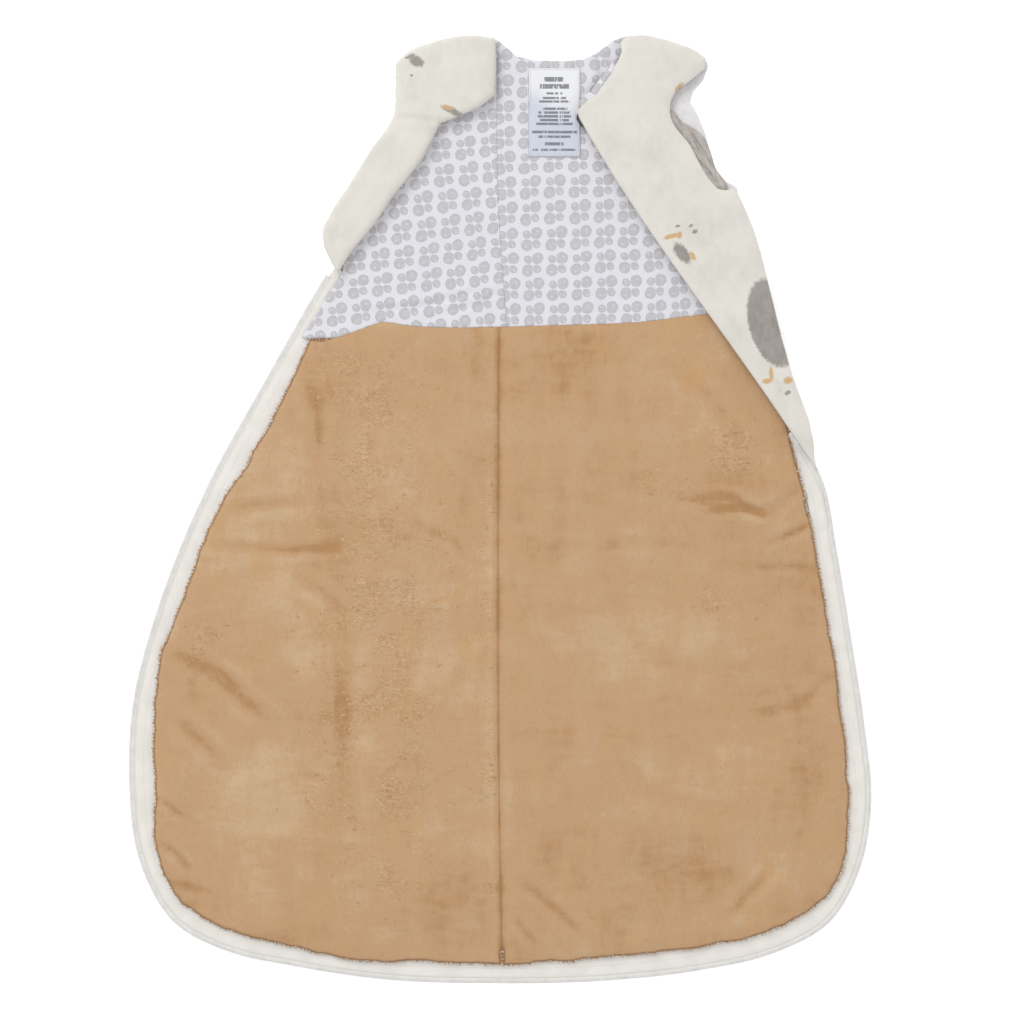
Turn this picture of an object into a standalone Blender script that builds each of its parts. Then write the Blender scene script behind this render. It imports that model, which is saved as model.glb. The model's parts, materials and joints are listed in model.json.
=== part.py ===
"""Sleeveless baby sleeping bag, laid flat with its inside up and its zip fully open.

Frame: metres, +Z up, +Y towards the neck, origin under the middle of the bag. The back lies on the
front flap, which is folded out through the left armhole and under it. Layers are flat solids, one
above the other. The right piece of the front arches over the back, so that an arm can pass through.
Plan outlines are written in millimetres, counter-clockwise as seen from above.
"""

import math

import bmesh
import bpy
import numpy as np
from mathutils import Matrix, Vector

MM = 0.001
CENTRE = (-0.1, 0.0)  # the middle of the plan outlines below, which becomes the origin
OUTLINE_STEP = 13 * MM
COIL_STEP = 16 * MM
SEAM_GAP = 0.2 * MM  # each of two pieces that meet at a seam keeps back this far
SHARPEST_MITRE = 0.3  # 1 + the cosine of a corner's turn, below which an inset corner is cut short
INSET_STEP = 4

# Heights of the layers above the floor, lowest and highest, mm.
FLAP_LINING = (0.0, 1.6)
FLAP_TAPE = (1.9, 2.5)
FLAP_WADDING = (1.9, 4.3)
FLAP_SHELL = (4.6, 7.8)
BACK_SHELL = (8.6, 12.0)
BACK_TAPE = (12.3, 12.9)
BACK_WADDING = (12.3, 15.0)
BACK_LINING = (15.3, 17.1)
LABEL = (17.4, 17.9)
TURN_SHELL = (17.4, 19.6)
TURN_LINING = (19.9, 20.7)
LEFT_LINING = (21.0, 21.8)
LEFT_SHELL = (22.1, 25.7)
LAPEL_TAPE = (20.15, 20.75)
FRONT_LINING = (21.8, 22.5)
FRONT_SHELL = (22.8, 26.4)
ZIP_GUARD = (24.4, 26.4)

COIL_RADIUS = 1.1
LAPEL_COIL_RADIUS = 0.85
BACK_COIL_HEIGHT = 12.9
FLAP_COIL_HEIGHT = 2.4
LAPEL_COIL_HEIGHT = 20.45
SHELL_INSET = 5  # from the coil's outer edge to the plush edge under the tape
WADDING_INSET = 21
FLAP_INSET = 6  # the flap hides this far inside the back's outline
FLAP_LINING_INSET = 15
YOKE_HEM_HEIGHT = 126  # along Y, where the flap's print meets its plush
ARCH_DROP = 4.4  # from the arched front piece down to its seams with the back
ARCH_REACH = 16
ARCH_GRID = 22
TAPE_TO_COIL = 0.3
TAPE_UNDER_LINING = 3

# The back's outline, from the left armpit round the hem to the right side.
ZIP_SIDE = [
    (-113.5, 173), (-120, 162.5), (-158, 96.5), (-203, 14), (-236, -68), (-253, -134),
    (-255.5, -184), (-247, -245), (-225, -283), (-187, -303.5), (-144, -313), (-82, -322.4),
    (-4, -325.3), (64, -324), (139, -316), (187, -305), (227, -283), (247, -248), (255.3, -200),
    (251, -151), (241, -85), (230, -19), (224, 14),
]
ZIP_TURN = [(218.6, 27.5), (209.3, 41.9), (200.8, 54.8), (192.0, 68.0)]
SIDE_SEAM = [(219, 12), (214.5, 46), (199, 96.5), (186, 146), (172.5, 195.5), (161.5, 222.3)]
RIGHT_ARMHOLE = [
    (161.5, 222.3), (155, 225.5), (145.7, 236.1), (142.9, 245), (140.5, 258.1), (135.4, 271.1),
    (129.6, 280.7), (131.9, 288.3), (138.8, 295.9), (142.2, 304.8), (140.9, 309.6),
]
RIGHT_SHOULDER = [(140.9, 309.6), (134, 315), (120, 320.3), (101, 325.3), (85, 325.0)]
NECKLINE = [
    (85, 325.0), (77.6, 322.3), (66.6, 313.7), (57, 309.5), (34, 308.6), (22, 308.9),
    (11, 311.6), (4.8, 317.1), (-0.7, 322.0), (-5.5, 324.0),
]
LEFT_SHOULDER = [(-5.5, 324.0), (-20, 324.6), (-48, 318.5), (-65, 309)]
LEFT_ARMHOLE = [(-65, 309), (-62, 285), (-76, 255), (-97, 222), (-111, 194), (-113.5, 173)]

# The back's lining: a plush skirt and a printed yoke, each of two halves.
SKIRT_LEFT_EDGE = [
    (-131, 117.6), (-150.5, 76), (-174.5, 33), (-191, 8), (-206, -26), (-222, -68),
    (-234.5, -102), (-238.5, -150), (-238, -195), (-234.5, -243), (-218, -271), (-190, -287.5),
    (-147, -299.5), (-97, -309.5), (-50, -311), (1.4, -313),
]
SKIRT_RIGHT_EDGE = [
    (1.4, -313), (54, -309.5), (113, -303.3), (162, -296), (205, -280), (229, -260),
    (238.5, -232), (240, -195), (236.5, -152), (231, -108), (222, -56), (214.5, -9),
    (206.5, 22), (199, 52), (193, 82), (181, 138),
]
SKIRT_SEAM = [(-0.7, 126.2), (-1.4, -20), (-1.0, -170), (1.4, -313)]
HEM_LEFT = [
    (-0.7, 126.2), (-40, 125.8), (-62.5, 127), (-81, 129.5), (-96, 124.5), (-112, 119),
    (-126, 118), (-131, 117.6),
]
HEM_RIGHT = [(181, 138), (142, 135), (95.5, 129.5), (41, 127.4), (4.6, 126.3)]
HEM_MIDDLE = [(4.6, 126.3), (-0.7, 126.2)]
YOKE_LEFT_EDGE = [
    (-61, 306.5), (-58, 285), (-72, 256), (-93, 223), (-105.5, 194), (-109, 176), (-112, 161),
    (-119.6, 149.5), (-128.5, 133), (-136.7, 119.2),
]
YOKE_LEFT_TOP = [(-2.5, 321), (-20, 321.6), (-46, 316), (-61, 306.5)]
YOKE_SEAM = [(-2.5, 321), (-2.1, 248), (0, 188), (2.7, 152), (4.6, 126.3)]
YOKE_SIDE = [(181, 138), (168, 178), (157, 206)]
YOKE_ARMHOLE = [
    (157, 206), (142, 212), (131, 227), (126, 242), (122, 255), (115.5, 266), (111.5, 278),
    (113, 288), (120, 297), (123, 306), (121, 316.5),
]
YOKE_RIGHT_TOP = [(121, 316.5), (101, 322), (86, 322)]
YOKE_NECK = [
    (86, 322), (77, 319), (67.5, 311.5), (57, 307.3), (34, 306.4), (22, 306.7), (10, 309.6),
    (3.5, 315.2), (-2.5, 321),
]

# The zip tape under the printed corner, and the point of the lining where the tape ends.
TAPE_TOP = [(-109, 172), (-112, 150), (-131, 117.6)]
TAPE_END = 13
END_STOP = [(-115.6, 173.2), (-112.4, 171.6), (-110.6, 175.2), (-113.8, 176.8), (-115.6, 173.2)]
END_STOP_HEIGHTS = (13.2, 15.0)
LABEL_LEFT = [(19.5, 304.0), (19.5, 242.9)]
LABEL_RIGHT = [(55.0, 242.9), (55.0, 304.0)]

# The front's left shoulder and the strip that runs down the left armhole.
LEFT_OUTER = [
    (-3.4, 323.4), (-20, 325.2), (-48, 320.0), (-64, 313.5), (-71.5, 306), (-71.8, 288),
    (-73, 270.5), (-88, 247.7), (-103, 223.6), (-115.4, 204.4), (-121.6, 190), (-120.5, 181),
    (-111, 162.8),
]
LEFT_FOLD = [
    (-111, 162.8), (-100.3, 179), (-86.6, 195.5), (-73.5, 214.7), (-54.3, 240), (-41.2, 264.9),
]
LEFT_TUCK = [(-41.2, 264.9), (-27, 270.5), (-13.7, 276.6), (-4, 284), (-3, 300), (-3.4, 323.4)]
LEFT_TURN = [
    (-8, 289), (-30, 300), (-64, 301), (-69, 288), (-70, 272), (-84.5, 246), (-100, 221.5),
    (-112, 202), (-117.5, 189), (-116, 181), (-110.5, 169.5), (-98, 184), (-84, 200.5),
    (-70.5, 219.5), (-51.5, 244.5), (-40, 268.5), (-20, 276),
]

LEFT_LINING_INSET = 3

# The front's right piece, between the fold line of its free edge and the side seam.
FOLD_TOP = (80.5, 308.0)
FOLD_FOOT = (197.5, 74.8)
FRONT_TOE = [(197.2, 73.6), (192.4, 68.9), (200.9, 55.3), (209.3, 42.6), (215.6, 34)]
FRONT_SIDE = [(215.6, 34), (214.8, 46), (199, 96.5), (186, 146), (172.5, 195.5), (161, 221.5)]
FRONT_ARMHOLE = [
    (161, 221.5), (155, 219.6), (149, 220.4), (143.6, 226.4), (136.7, 237.4), (129.9, 250.4),
    (120.9, 261.4), (116.8, 270), (116.8, 279.3), (121, 287.5), (130.5, 294.4), (139.6, 302),
    (140.9, 309.6),
]
FRONT_SHOULDER = [(140.9, 309.6), (134, 315), (120, 320.3), (101, 325.3), (86.5, 325.0)]
FRONT_NECK = [(86.5, 325.0), (82.2, 320), (83.2, 314.4), (81.2, 308.4)]
LAPEL_NECK = [(79.8, 306.8), (77, 300.6), (72.1, 294.4), (68, 288.9), (64.6, 284.1), (58.6, 280)]

# The zip's straight stretch down the lapel: places are (along it, in from the plush edge).
ZIP_START = (57.0, 263.5)
ZIP_ANGLE = math.atan2(-208.9, 141.6)
ZIP_LENGTH = 234.0
ZIP_TOP = -8.4
LAPEL_COIL_IN = 0.95
LAPEL_TAPE_IN = (2.3, 9.3)
GUARD_WIDTH = 8.8
LAPEL_FOOT = 214.0

SLIDER_PLACE = (-3.9, 0.0)
SLIDER_LENGTH = 9.0
SLIDER_WIDTH = (-1.2, 7.0)
SLIDER_WALL = 0.95
SLIDER_HEIGHTS = (18.5, 19.3, 21.6, 22.3)  # under and over its lower plate, then its upper one
POST_PLACE = (-5.2, 3.4)
POST_RADIUS = 1.0
POST_CAP_RADIUS = 1.9
POST_HEIGHTS = (22.0, 23.7, 24.05)
PULL_HEIGHTS = (22.6, 23.3)
PULL_LENGTH = 19.0
PULL_WIDTH = 5.0
PULL_EYE_RADIUS = 1.4
RETAINER_ALONG = (-11.6, -8.9)
RETAINER_IN = (0.8, 6.0)
RETAINER_HEIGHTS = (19.2, 21.6)
FOLD_GAP = 0.6

# The flap's hinge line runs beside the left armhole.
FLAP_HINGE_TOP = (-74.1, 273.1)
FLAP_HINGE_FOOT = (-123.7, 192.7)
FLAP_HINGE_HEIGHT = 13.0
LAPEL_HINGE_HEIGHT = 26.6
FLAP_TURN = [(217.5, 31), (207, 49.5), (180, 89.6), (100, 208.5), (60, 268)]
FLAP_NECK = [(54, 263), (38, 252), (15, 248), (-20, 255), (-68.7, 262.7)]
FLAP_FOLD = [(-68.7, 262.7), (-115.0, 187.8)]
FLAP_EDGE_INSET = 2
FLAP_WADDING_INSET = 20
INSERTION_PIN_SHARES = (0.7, 0.76)  # where the pin and the coil end, back along the last stretch
PIN_RADIUS = 0.9

CREAM = (0.79, 0.76, 0.70)
TAN = (0.55, 0.34, 0.19)
PRINT = (0.74, 0.74, 0.78)
TAPE_WHITE = (0.80, 0.79, 0.76)
FILL_WHITE = (0.88, 0.88, 0.88)
COIL_GREY = (0.68, 0.67, 0.65)
GUNMETAL = (0.05, 0.05, 0.055)
LABEL_WHITE = (0.82, 0.83, 0.88)


def clear_scene():
    for obj in list(bpy.data.objects):
        bpy.data.objects.remove(obj, do_unlink=True)


def collection(name):
    made = bpy.data.collections.new(name)
    bpy.context.scene.collection.children.link(made)
    return made


def smooth(points, step=OUTLINE_STEP):
    """Points about a step apart on a smooth curve through the given ones, as an array in metres."""
    p = (np.array(points, float) - CENTRE) * MM
    if len(p) == 2:
        return p
    t = np.concatenate([[0], np.cumsum(np.linalg.norm(np.diff(p, axis=0), axis=1))])
    slope = np.gradient(p, t, axis=0)
    found = [p[:1]]
    for i, span in enumerate(np.diff(t)):
        u = np.linspace(0, 1, max(1, round(span / step)) + 1)[1:, None]
        found.append(
            (1 + 2 * u) * (1 - u) ** 2 * p[i]
            + u * (1 - u) ** 2 * span * slope[i]
            + u**2 * (3 - 2 * u) * p[i + 1]
            + u**2 * (u - 1) * span * slope[i + 1]
        )
    return np.concatenate(found)


def offset(path, distance):
    """An open path moved to its left, which is inwards on a counter-clockwise outline."""
    along = np.gradient(path, axis=0)
    along /= np.linalg.norm(along, axis=1)[:, None]
    return path + distance * MM * np.stack([-along[:, 1], along[:, 0]], axis=1)


def joined(*paths):
    """One closed outline from open paths in order, without points that all but coincide."""
    points = np.concatenate(paths)
    apart = np.linalg.norm(points - np.roll(points, 1, axis=0), axis=1) > 0.5 * MM
    return points[apart]


def distance_to(points, outline, closed=True):
    """How far each point is from a polyline."""
    a = outline if closed else outline[:-1]
    b = np.roll(outline, -1, axis=0) if closed else outline[1:]
    run = b - a
    share = ((points[:, None] - a) * run).sum(2) / (run**2).sum(1)
    nearest = a + np.clip(share, 0, 1)[..., None] * run
    return np.linalg.norm(points[:, None] - nearest, axis=2).min(1)


def inset(outline, distance):
    """A closed outline moved inwards in short steps, less the points that a tight corner turns over."""
    steps = math.ceil(distance / INSET_STEP)
    depth = distance / steps * MM
    for _ in range(steps):
        run = np.roll(outline, -1, axis=0) - outline
        run /= np.linalg.norm(run, axis=1)[:, None]
        inward = np.stack([-run[:, 1], run[:, 0]], axis=1)
        both = inward + np.roll(inward, 1, axis=0)
        mitre = np.maximum((both**2).sum(1) / 2, SHARPEST_MITRE)
        moved = outline + depth * both / mitre[:, None]
        outline = moved[distance_to(moved, outline) > 0.985 * depth]
    return outline


def clipped(outline, normal, limit):
    """The part of a closed outline with normal . point below a limit in millimetres."""
    side = outline @ np.array(normal) - limit * MM
    kept = []
    for i in range(len(outline)):
        j = (i + 1) % len(outline)
        if side[i] < 0:
            kept.append(outline[i])
        if side[i] * side[j] < 0:
            share = side[i] / (side[i] - side[j])
            kept.append(outline[i] + share * (outline[j] - outline[i]))
    return joined(np.array(kept))


def zip_place(along, inwards):
    """A plan place in metres, given along the lapel's zip and in from its plush edge."""
    c, s = math.cos(ZIP_ANGLE), math.sin(ZIP_ANGLE)
    start = np.array(ZIP_START) - CENTRE
    return (start + [along * c - inwards * s, along * s + inwards * c]) * MM


def finished(obj, colour, roughness, metallic, group):
    """Gives a part its own material and puts it in a collection."""
    surface = bpy.data.materials.new(obj.name)
    surface.use_nodes = True
    shader = surface.node_tree.nodes["Principled BSDF"]
    shader.inputs["Base Color"].default_value = (*colour, 1)
    shader.inputs["Roughness"].default_value = roughness
    shader.inputs["Metallic"].default_value = metallic
    obj.data.materials.append(surface)
    group.objects.link(obj)
    return obj


def flat_curve(name, outlines, thickness):
    """A 2D curve filled between its outlines and extruded both ways."""
    curve = bpy.data.curves.new(name, "CURVE")
    curve.dimensions = "2D"
    curve.fill_mode = "BOTH"
    curve.extrude = thickness / 2
    for outline in outlines:
        spline = curve.splines.new("POLY")
        spline.points.add(len(outline) - 1)
        for point, (x, y) in zip(spline.points, outline):
            point.co = (x, y, 0, 1)
        spline.use_cyclic_u = True
    return bpy.data.objects.new(name, curve)


def panel(name, outline, heights, colour, roughness=0.9, metallic=0.0, group=None):
    """A flat piece with the given outline, between two heights in millimetres."""
    low, high = heights
    obj = flat_curve(name, [outline], (high - low) * MM)
    obj.location.z = (low + high) / 2 * MM
    return finished(obj, colour, roughness, metallic, group or PARTS)


def as_mesh(curve_object, group):
    """A mesh object in place of a curve object, with the curve's caps welded on."""
    bpy.context.view_layer.update()
    graph = bpy.context.evaluated_depsgraph_get()
    mesh = bpy.data.meshes.new_from_object(curve_object.evaluated_get(graph))
    name, matrix = curve_object.name, curve_object.matrix_world.copy()
    bpy.data.objects.remove(curve_object, do_unlink=True)
    bm = bmesh.new()
    bm.from_mesh(mesh)
    bmesh.ops.remove_doubles(bm, verts=bm.verts, dist=0.01 * MM)
    bmesh.ops.transform(bm, matrix=matrix, verts=bm.verts)
    bm.to_mesh(mesh)
    bm.free()
    obj = bpy.data.objects.new(name, mesh)
    group.objects.link(obj)
    return obj


def gridded(obj, pitch):
    """Cuts a flat piece along a square grid, so that it can be bent."""
    bm = bmesh.new()
    bm.from_mesh(obj.data)
    flat = [e for e in bm.edges if e.calc_face_angle(0) < 0.01]
    bmesh.ops.dissolve_edges(bm, edges=flat, use_verts=False)
    for axis in range(2):
        normal = Vector((axis == 0, axis == 1, 0))
        low = min(v.co[axis] for v in bm.verts)
        high = max(v.co[axis] for v in bm.verts)
        for cut in np.arange(low + pitch, high - pitch / 3, pitch):
            bmesh.ops.bisect_plane(
                bm,
                geom=bm.verts[:] + bm.edges[:] + bm.faces[:],
                plane_co=normal * cut,
                plane_no=normal,
                dist=1e-6,
            )
    bmesh.ops.triangulate(bm, faces=bm.faces)
    bm.to_mesh(obj.data)
    bm.free()


def bent_down(layers, outline, *seams):
    """Layers of one outline, each (name, heights, colour), lowered to the back along the seams."""
    grid = as_mesh(flat_curve("grid", [outline], 2 * MM), CUTTERS)
    gridded(grid, ARCH_GRID * MM)
    plan = np.array([v.co[:2] for v in grid.data.vertices])
    away = np.min([distance_to(plan, seam, closed=False) for seam in seams], axis=0)
    near = np.clip(1 - away / (ARCH_REACH * MM), 0, 1)
    drop = ARCH_DROP * near * near * (3 - 2 * near)
    for name, (low, high), colour in layers:
        mesh = grid.data.copy()
        for vertex, down in zip(mesh.vertices, drop):
            vertex.co.z = ((high if vertex.co.z > 0 else low) - down) * MM
        finished(bpy.data.objects.new(name, mesh), colour, 0.9, 0.0, PARTS)
    bpy.data.objects.remove(grid, do_unlink=True)


def tube(name, path, heights, radius, colour):
    """A round coil or cord along a plan path, with a height at each point."""
    curve = bpy.data.curves.new(name, "CURVE")
    curve.dimensions = "3D"
    curve.bevel_depth = radius * MM
    curve.bevel_resolution = 1
    curve.use_fill_caps = True
    spline = curve.splines.new("POLY")
    spline.points.add(len(path) - 1)
    for point, (x, y), z in zip(spline.points, path, heights):
        point.co = (x, y, z, 1)
    return finished(bpy.data.objects.new(name, curve), colour, 0.5, 0.0, PARTS)


def empty(name, place, height, direction):
    """An empty on a joint's axis, with its X along the given plan direction."""
    made = bpy.data.objects.new(name, None)
    turn = Matrix.Rotation(math.atan2(direction[1], direction[0]), 4, "Z")
    made.matrix_world = Matrix.Translation((*place, height * MM)) @ turn
    PARTS.objects.link(made)
    return made


def hang(objects, parent):
    """Parents pieces to the empty on their joint, without moving them."""
    bpy.context.view_layer.update()
    for obj in objects:
        obj.parent = parent
        obj.matrix_parent_inverse = parent.matrix_world.inverted()


def back_outline():
    return joined(
        offset(smooth(ZIP_SIDE), SHELL_INSET),
        smooth(SIDE_SEAM),
        smooth(RIGHT_ARMHOLE),
        smooth(RIGHT_SHOULDER),
        smooth(NECKLINE),
        smooth(LEFT_SHOULDER),
        smooth(LEFT_ARMHOLE),
    )


def make_back():
    outline = back_outline()
    panel("back_shell", outline, BACK_SHELL, CREAM)
    panel("back_wadding", inset(outline, WADDING_INSET - SHELL_INSET), BACK_WADDING, FILL_WHITE)
    halves = {
        "lining_skirt_left": (
            joined(smooth(SKIRT_LEFT_EDGE), smooth(SKIRT_SEAM)[::-1], smooth(HEM_LEFT)),
            TAN,
        ),
        "lining_skirt_right": (
            joined(
                smooth(SKIRT_RIGHT_EDGE),
                smooth(HEM_RIGHT),
                smooth(HEM_MIDDLE),
                smooth(SKIRT_SEAM),
            ),
            TAN,
        ),
        "lining_yoke_left": (
            joined(
                smooth(YOKE_LEFT_EDGE),
                smooth(HEM_LEFT)[::-1],
                smooth(HEM_MIDDLE)[::-1],
                smooth(YOKE_SEAM)[::-1],
                smooth(YOKE_LEFT_TOP),
            ),
            PRINT,
        ),
        "lining_yoke_right": (
            joined(
                smooth(YOKE_SEAM),
                smooth(HEM_RIGHT)[::-1],
                smooth(YOKE_SIDE),
                smooth(YOKE_ARMHOLE),
                smooth(YOKE_RIGHT_TOP),
                smooth(YOKE_NECK),
            ),
            PRINT,
        ),
        "right_armhole_facing": (
            joined(
                offset(smooth(RIGHT_ARMHOLE), 0.8),
                smooth(YOKE_ARMHOLE)[::-1],
            ),
            LABEL_WHITE,
        ),
    }
    for name, (half, colour) in halves.items():
        panel(name, inset(half, SEAM_GAP / MM), BACK_LINING, colour)


def make_back_zip():
    edge = smooth(ZIP_SIDE + ZIP_TURN, COIL_STEP)
    coil = offset(edge, COIL_RADIUS)[1:-1]
    turn_start, turn_end = ZIP_SIDE[-1][1] * MM, ZIP_TURN[-1][1] * MM
    share = np.clip((coil[:, 1] - turn_start) / (turn_end - turn_start), 0, 1)
    share[coil[:, 0] < 0] = 0
    climb = (LAPEL_COIL_HEIGHT - BACK_COIL_HEIGHT) * share * share * (3 - 2 * share)
    tube("back_zip_coil", coil, (BACK_COIL_HEIGHT + climb) * MM, COIL_RADIUS, COIL_GREY)
    lining = joined(smooth(TAPE_TOP), smooth(SKIRT_LEFT_EDGE), smooth(SKIRT_RIGHT_EDGE[:TAPE_END]))
    outer = offset(smooth(ZIP_SIDE), 2 * COIL_RADIUS + TAPE_TO_COIL)
    inner = offset(lining, TAPE_UNDER_LINING)[::-1]
    panel("back_zip_tape", joined(outer, inner[1:-1]), BACK_TAPE, TAPE_WHITE)
    panel("back_zip_end_stop", joined(smooth(END_STOP)), END_STOP_HEIGHTS, COIL_GREY, 0.4)


def make_label():
    panel("care_label", joined(smooth(LABEL_LEFT), smooth(LABEL_RIGHT)), LABEL, LABEL_WHITE, 0.6)


def make_front_left():
    outline = joined(smooth(LEFT_OUTER), smooth(LEFT_FOLD), smooth(LEFT_TUCK))
    turned = joined(smooth(LEFT_TURN + LEFT_TURN[:1]))
    panel("front_left_shell", outline, LEFT_SHELL, CREAM)
    panel("front_left_lining", inset(outline, LEFT_LINING_INSET), LEFT_LINING, PRINT)
    panel("front_turn_lining", inset(turned, 1), TURN_LINING, PRINT)
    panel("front_turn_shell", turned, TURN_SHELL, CREAM)


def make_front_right():
    outline = joined(
        smooth([FOLD_TOP, FOLD_FOOT]),
        smooth(FRONT_TOE),
        smooth(FRONT_SIDE),
        smooth(FRONT_ARMHOLE),
        smooth(FRONT_SHOULDER),
        smooth(FRONT_NECK),
    )
    layers = (
        ("front_right_shell", FRONT_SHELL, CREAM),
        ("front_right_lining", FRONT_LINING, PRINT),
    )
    bent_down(layers, outline, smooth(FRONT_SIDE), smooth(FRONT_SHOULDER))


def fold_in_from_edge(along):
    """How far the lapel's fold line is in from its plush edge, at a place along the zip."""
    ends = []
    for x, y in (FOLD_TOP, FOLD_FOOT):
        across = (x - ZIP_START[0], y - ZIP_START[1])
        c, s = math.cos(ZIP_ANGLE), math.sin(ZIP_ANGLE)
        ends.append((across[0] * c + across[1] * s, across[1] * c - across[0] * s))
    (a, in_a), (b, in_b) = ends
    return in_a + (in_b - in_a) * (along - a) / (b - a)


def make_lapel():
    """The plush edge that folds back, with the zip's half under its guard."""
    guard = [
        zip_place(-10.2, 2.0),
        zip_place(-6.0, 0.5),
        zip_place(0.0, 0.0),
        zip_place(ZIP_LENGTH, 0.0),
        zip_place(ZIP_LENGTH, GUARD_WIDTH),
        zip_place(-12.4, GUARD_WIDTH),
    ]
    shell = [
        zip_place(-12.3, GUARD_WIDTH + 0.4),
        zip_place(LAPEL_FOOT, GUARD_WIDTH + 0.4),
        zip_place(LAPEL_FOOT, fold_in_from_edge(LAPEL_FOOT) - FOLD_GAP),
    ]
    shell = joined(np.array(shell), smooth(LAPEL_NECK))
    tape = [
        zip_place(along, inwards)
        for along, inwards in zip((ZIP_TOP, ZIP_LENGTH, ZIP_LENGTH, ZIP_TOP), np.repeat(LAPEL_TAPE_IN, 2))
    ]
    coil = [zip_place(along, LAPEL_COIL_IN) for along in np.linspace(ZIP_TOP, ZIP_LENGTH, 5)]
    made = [
        panel("lapel_zip_guard", np.array(guard), ZIP_GUARD, CREAM),
        panel("lapel_shell", shell, FRONT_SHELL, CREAM),
        panel("lapel_lining", shell, FRONT_LINING, PRINT),
        panel("lapel_zip_tape", np.array(tape), LAPEL_TAPE, TAPE_WHITE),
        tube(
            "lapel_zip_coil",
            np.array(coil),
            np.full(len(coil), LAPEL_COIL_HEIGHT * MM),
            LAPEL_COIL_RADIUS,
            COIL_GREY,
        ),
        panel("zip_retainer_box", plan_box(RETAINER_ALONG, RETAINER_IN), RETAINER_HEIGHTS, TAPE_WHITE, 0.4),
    ]
    top, foot = (np.array(end) - CENTRE for end in (FOLD_TOP, FOLD_FOOT))
    hang(made, empty("lapel_fold_axis", top * MM, LAPEL_HINGE_HEIGHT, top - foot))


def plan_box(along, inwards):
    """A rectangle lined up with the lapel's zip."""
    (a, b), (c, d) = along, inwards
    return np.array([zip_place(a, c), zip_place(b, c), zip_place(b, d), zip_place(a, d)])


def rounded(centre, half_length, half_width, count=24, power=4):
    """A rounded rectangle about a place given along the lapel's zip and in from its edge."""
    turn = np.linspace(0, 2 * math.pi, count, endpoint=False)
    c, s = np.cos(turn), np.sin(turn)
    along = centre[0] + half_length * np.sign(c) * np.abs(c) ** (2 / power)
    across = centre[1] + half_width * np.sign(s) * np.abs(s) ** (2 / power)
    return np.array([zip_place(a, b) for a, b in zip(along, across)])


def round_rod(name, place, radius, low, high, group):
    """A cylinder at a plan place, between two heights in millimetres."""
    mesh = bpy.data.meshes.new(name)
    bm = bmesh.new()
    bmesh.ops.create_cone(
        bm,
        cap_ends=True,
        segments=20,
        radius1=radius * MM,
        radius2=radius * MM,
        depth=(high - low) * MM,
    )
    bm.to_mesh(mesh)
    bm.free()
    obj = bpy.data.objects.new(name, mesh)
    obj.location = (*place, (low + high) / 2 * MM)
    group.objects.link(obj)
    return obj


def boolean(obj, cutter, operation):
    cutter.hide_render = True
    cutter.display_type = "WIRE"
    modifier = obj.modifiers.new(cutter.name, "BOOLEAN")
    modifier.operation = operation
    modifier.object = cutter


def make_slider():
    """A slider that wraps the coil from its outer side, with a post for the pull tab."""
    under, over, below, top = SLIDER_HEIGHTS
    outer, inner = SLIDER_WIDTH
    wall = outer + SLIDER_WALL
    section = np.array([
        (outer, under), (inner, under), (inner, over), (wall, over),
        (wall, below), (inner, below), (inner, top), (outer, top),
    ]) * MM
    body = flat_curve("zip_slider", [section], SLIDER_LENGTH * MM)
    middle = zip_place(*SLIDER_PLACE)
    across = Vector((*(zip_place(0, 1) - zip_place(0, 0)), 0)).normalized()
    axes = Matrix((across, (0, 0, 1), across.cross((0, 0, 1)))).transposed().to_4x4()
    body.matrix_world = Matrix.Translation((*middle, 0)) @ axes
    finished(body, GUNMETAL, 0.35, 0.9, PARTS)
    body = as_mesh(body, PARTS)
    plan_middle = (SLIDER_PLACE[0], (outer + inner) / 2)
    plan = rounded(plan_middle, SLIDER_LENGTH / 2, (inner - outer) / 2)
    plan_cutter = flat_curve("slider_plan", [plan], 2 * (top - under) * MM)
    plan_cutter.location.z = (top + under) / 2 * MM
    CUTTERS.objects.link(plan_cutter)
    boolean(body, as_mesh(plan_cutter, CUTTERS), "INTERSECT")
    low, neck, cap = POST_HEIGHTS
    post = zip_place(*POST_PLACE)
    boolean(body, round_rod("pull_post", post, POST_RADIUS, low, neck + 0.1, CUTTERS), "UNION")
    boolean(body, round_rod("pull_post_cap", post, POST_CAP_RADIUS, neck, cap, CUTTERS), "UNION")
    hang([body], empty("zip_slide_start", middle, LAPEL_COIL_HEIGHT, zip_place(1, 0) - zip_place(0, 0)))


def make_pull():
    """A flat tab that turns about the slider's post."""
    low, high = PULL_HEIGHTS
    middle = (POST_PLACE[0] + PULL_LENGTH / 2 - PULL_WIDTH / 2, POST_PLACE[1])
    tab = rounded(middle, PULL_LENGTH / 2, PULL_WIDTH / 2, count=32, power=6)
    turn = np.linspace(0, 2 * math.pi, 20, endpoint=False)
    post = zip_place(*POST_PLACE)
    eye = post + PULL_EYE_RADIUS * MM * np.stack([np.cos(turn), np.sin(turn)], axis=1)
    pull = flat_curve("zip_pull", [tab, eye], (high - low) * MM)
    pull.location.z = (low + high) / 2 * MM
    finished(pull, GUNMETAL, 0.35, 0.9, PARTS)
    hang([pull], empty("pull_pivot", post, low, zip_place(1, 0) - zip_place(0, 0)))


def flap_zip_edge(step=OUTLINE_STEP):
    """The flap's zipped edge: the back's, a little further in, and then up the diagonal."""
    return offset(smooth(ZIP_SIDE[1:] + FLAP_TURN, step), FLAP_INSET)


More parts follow.
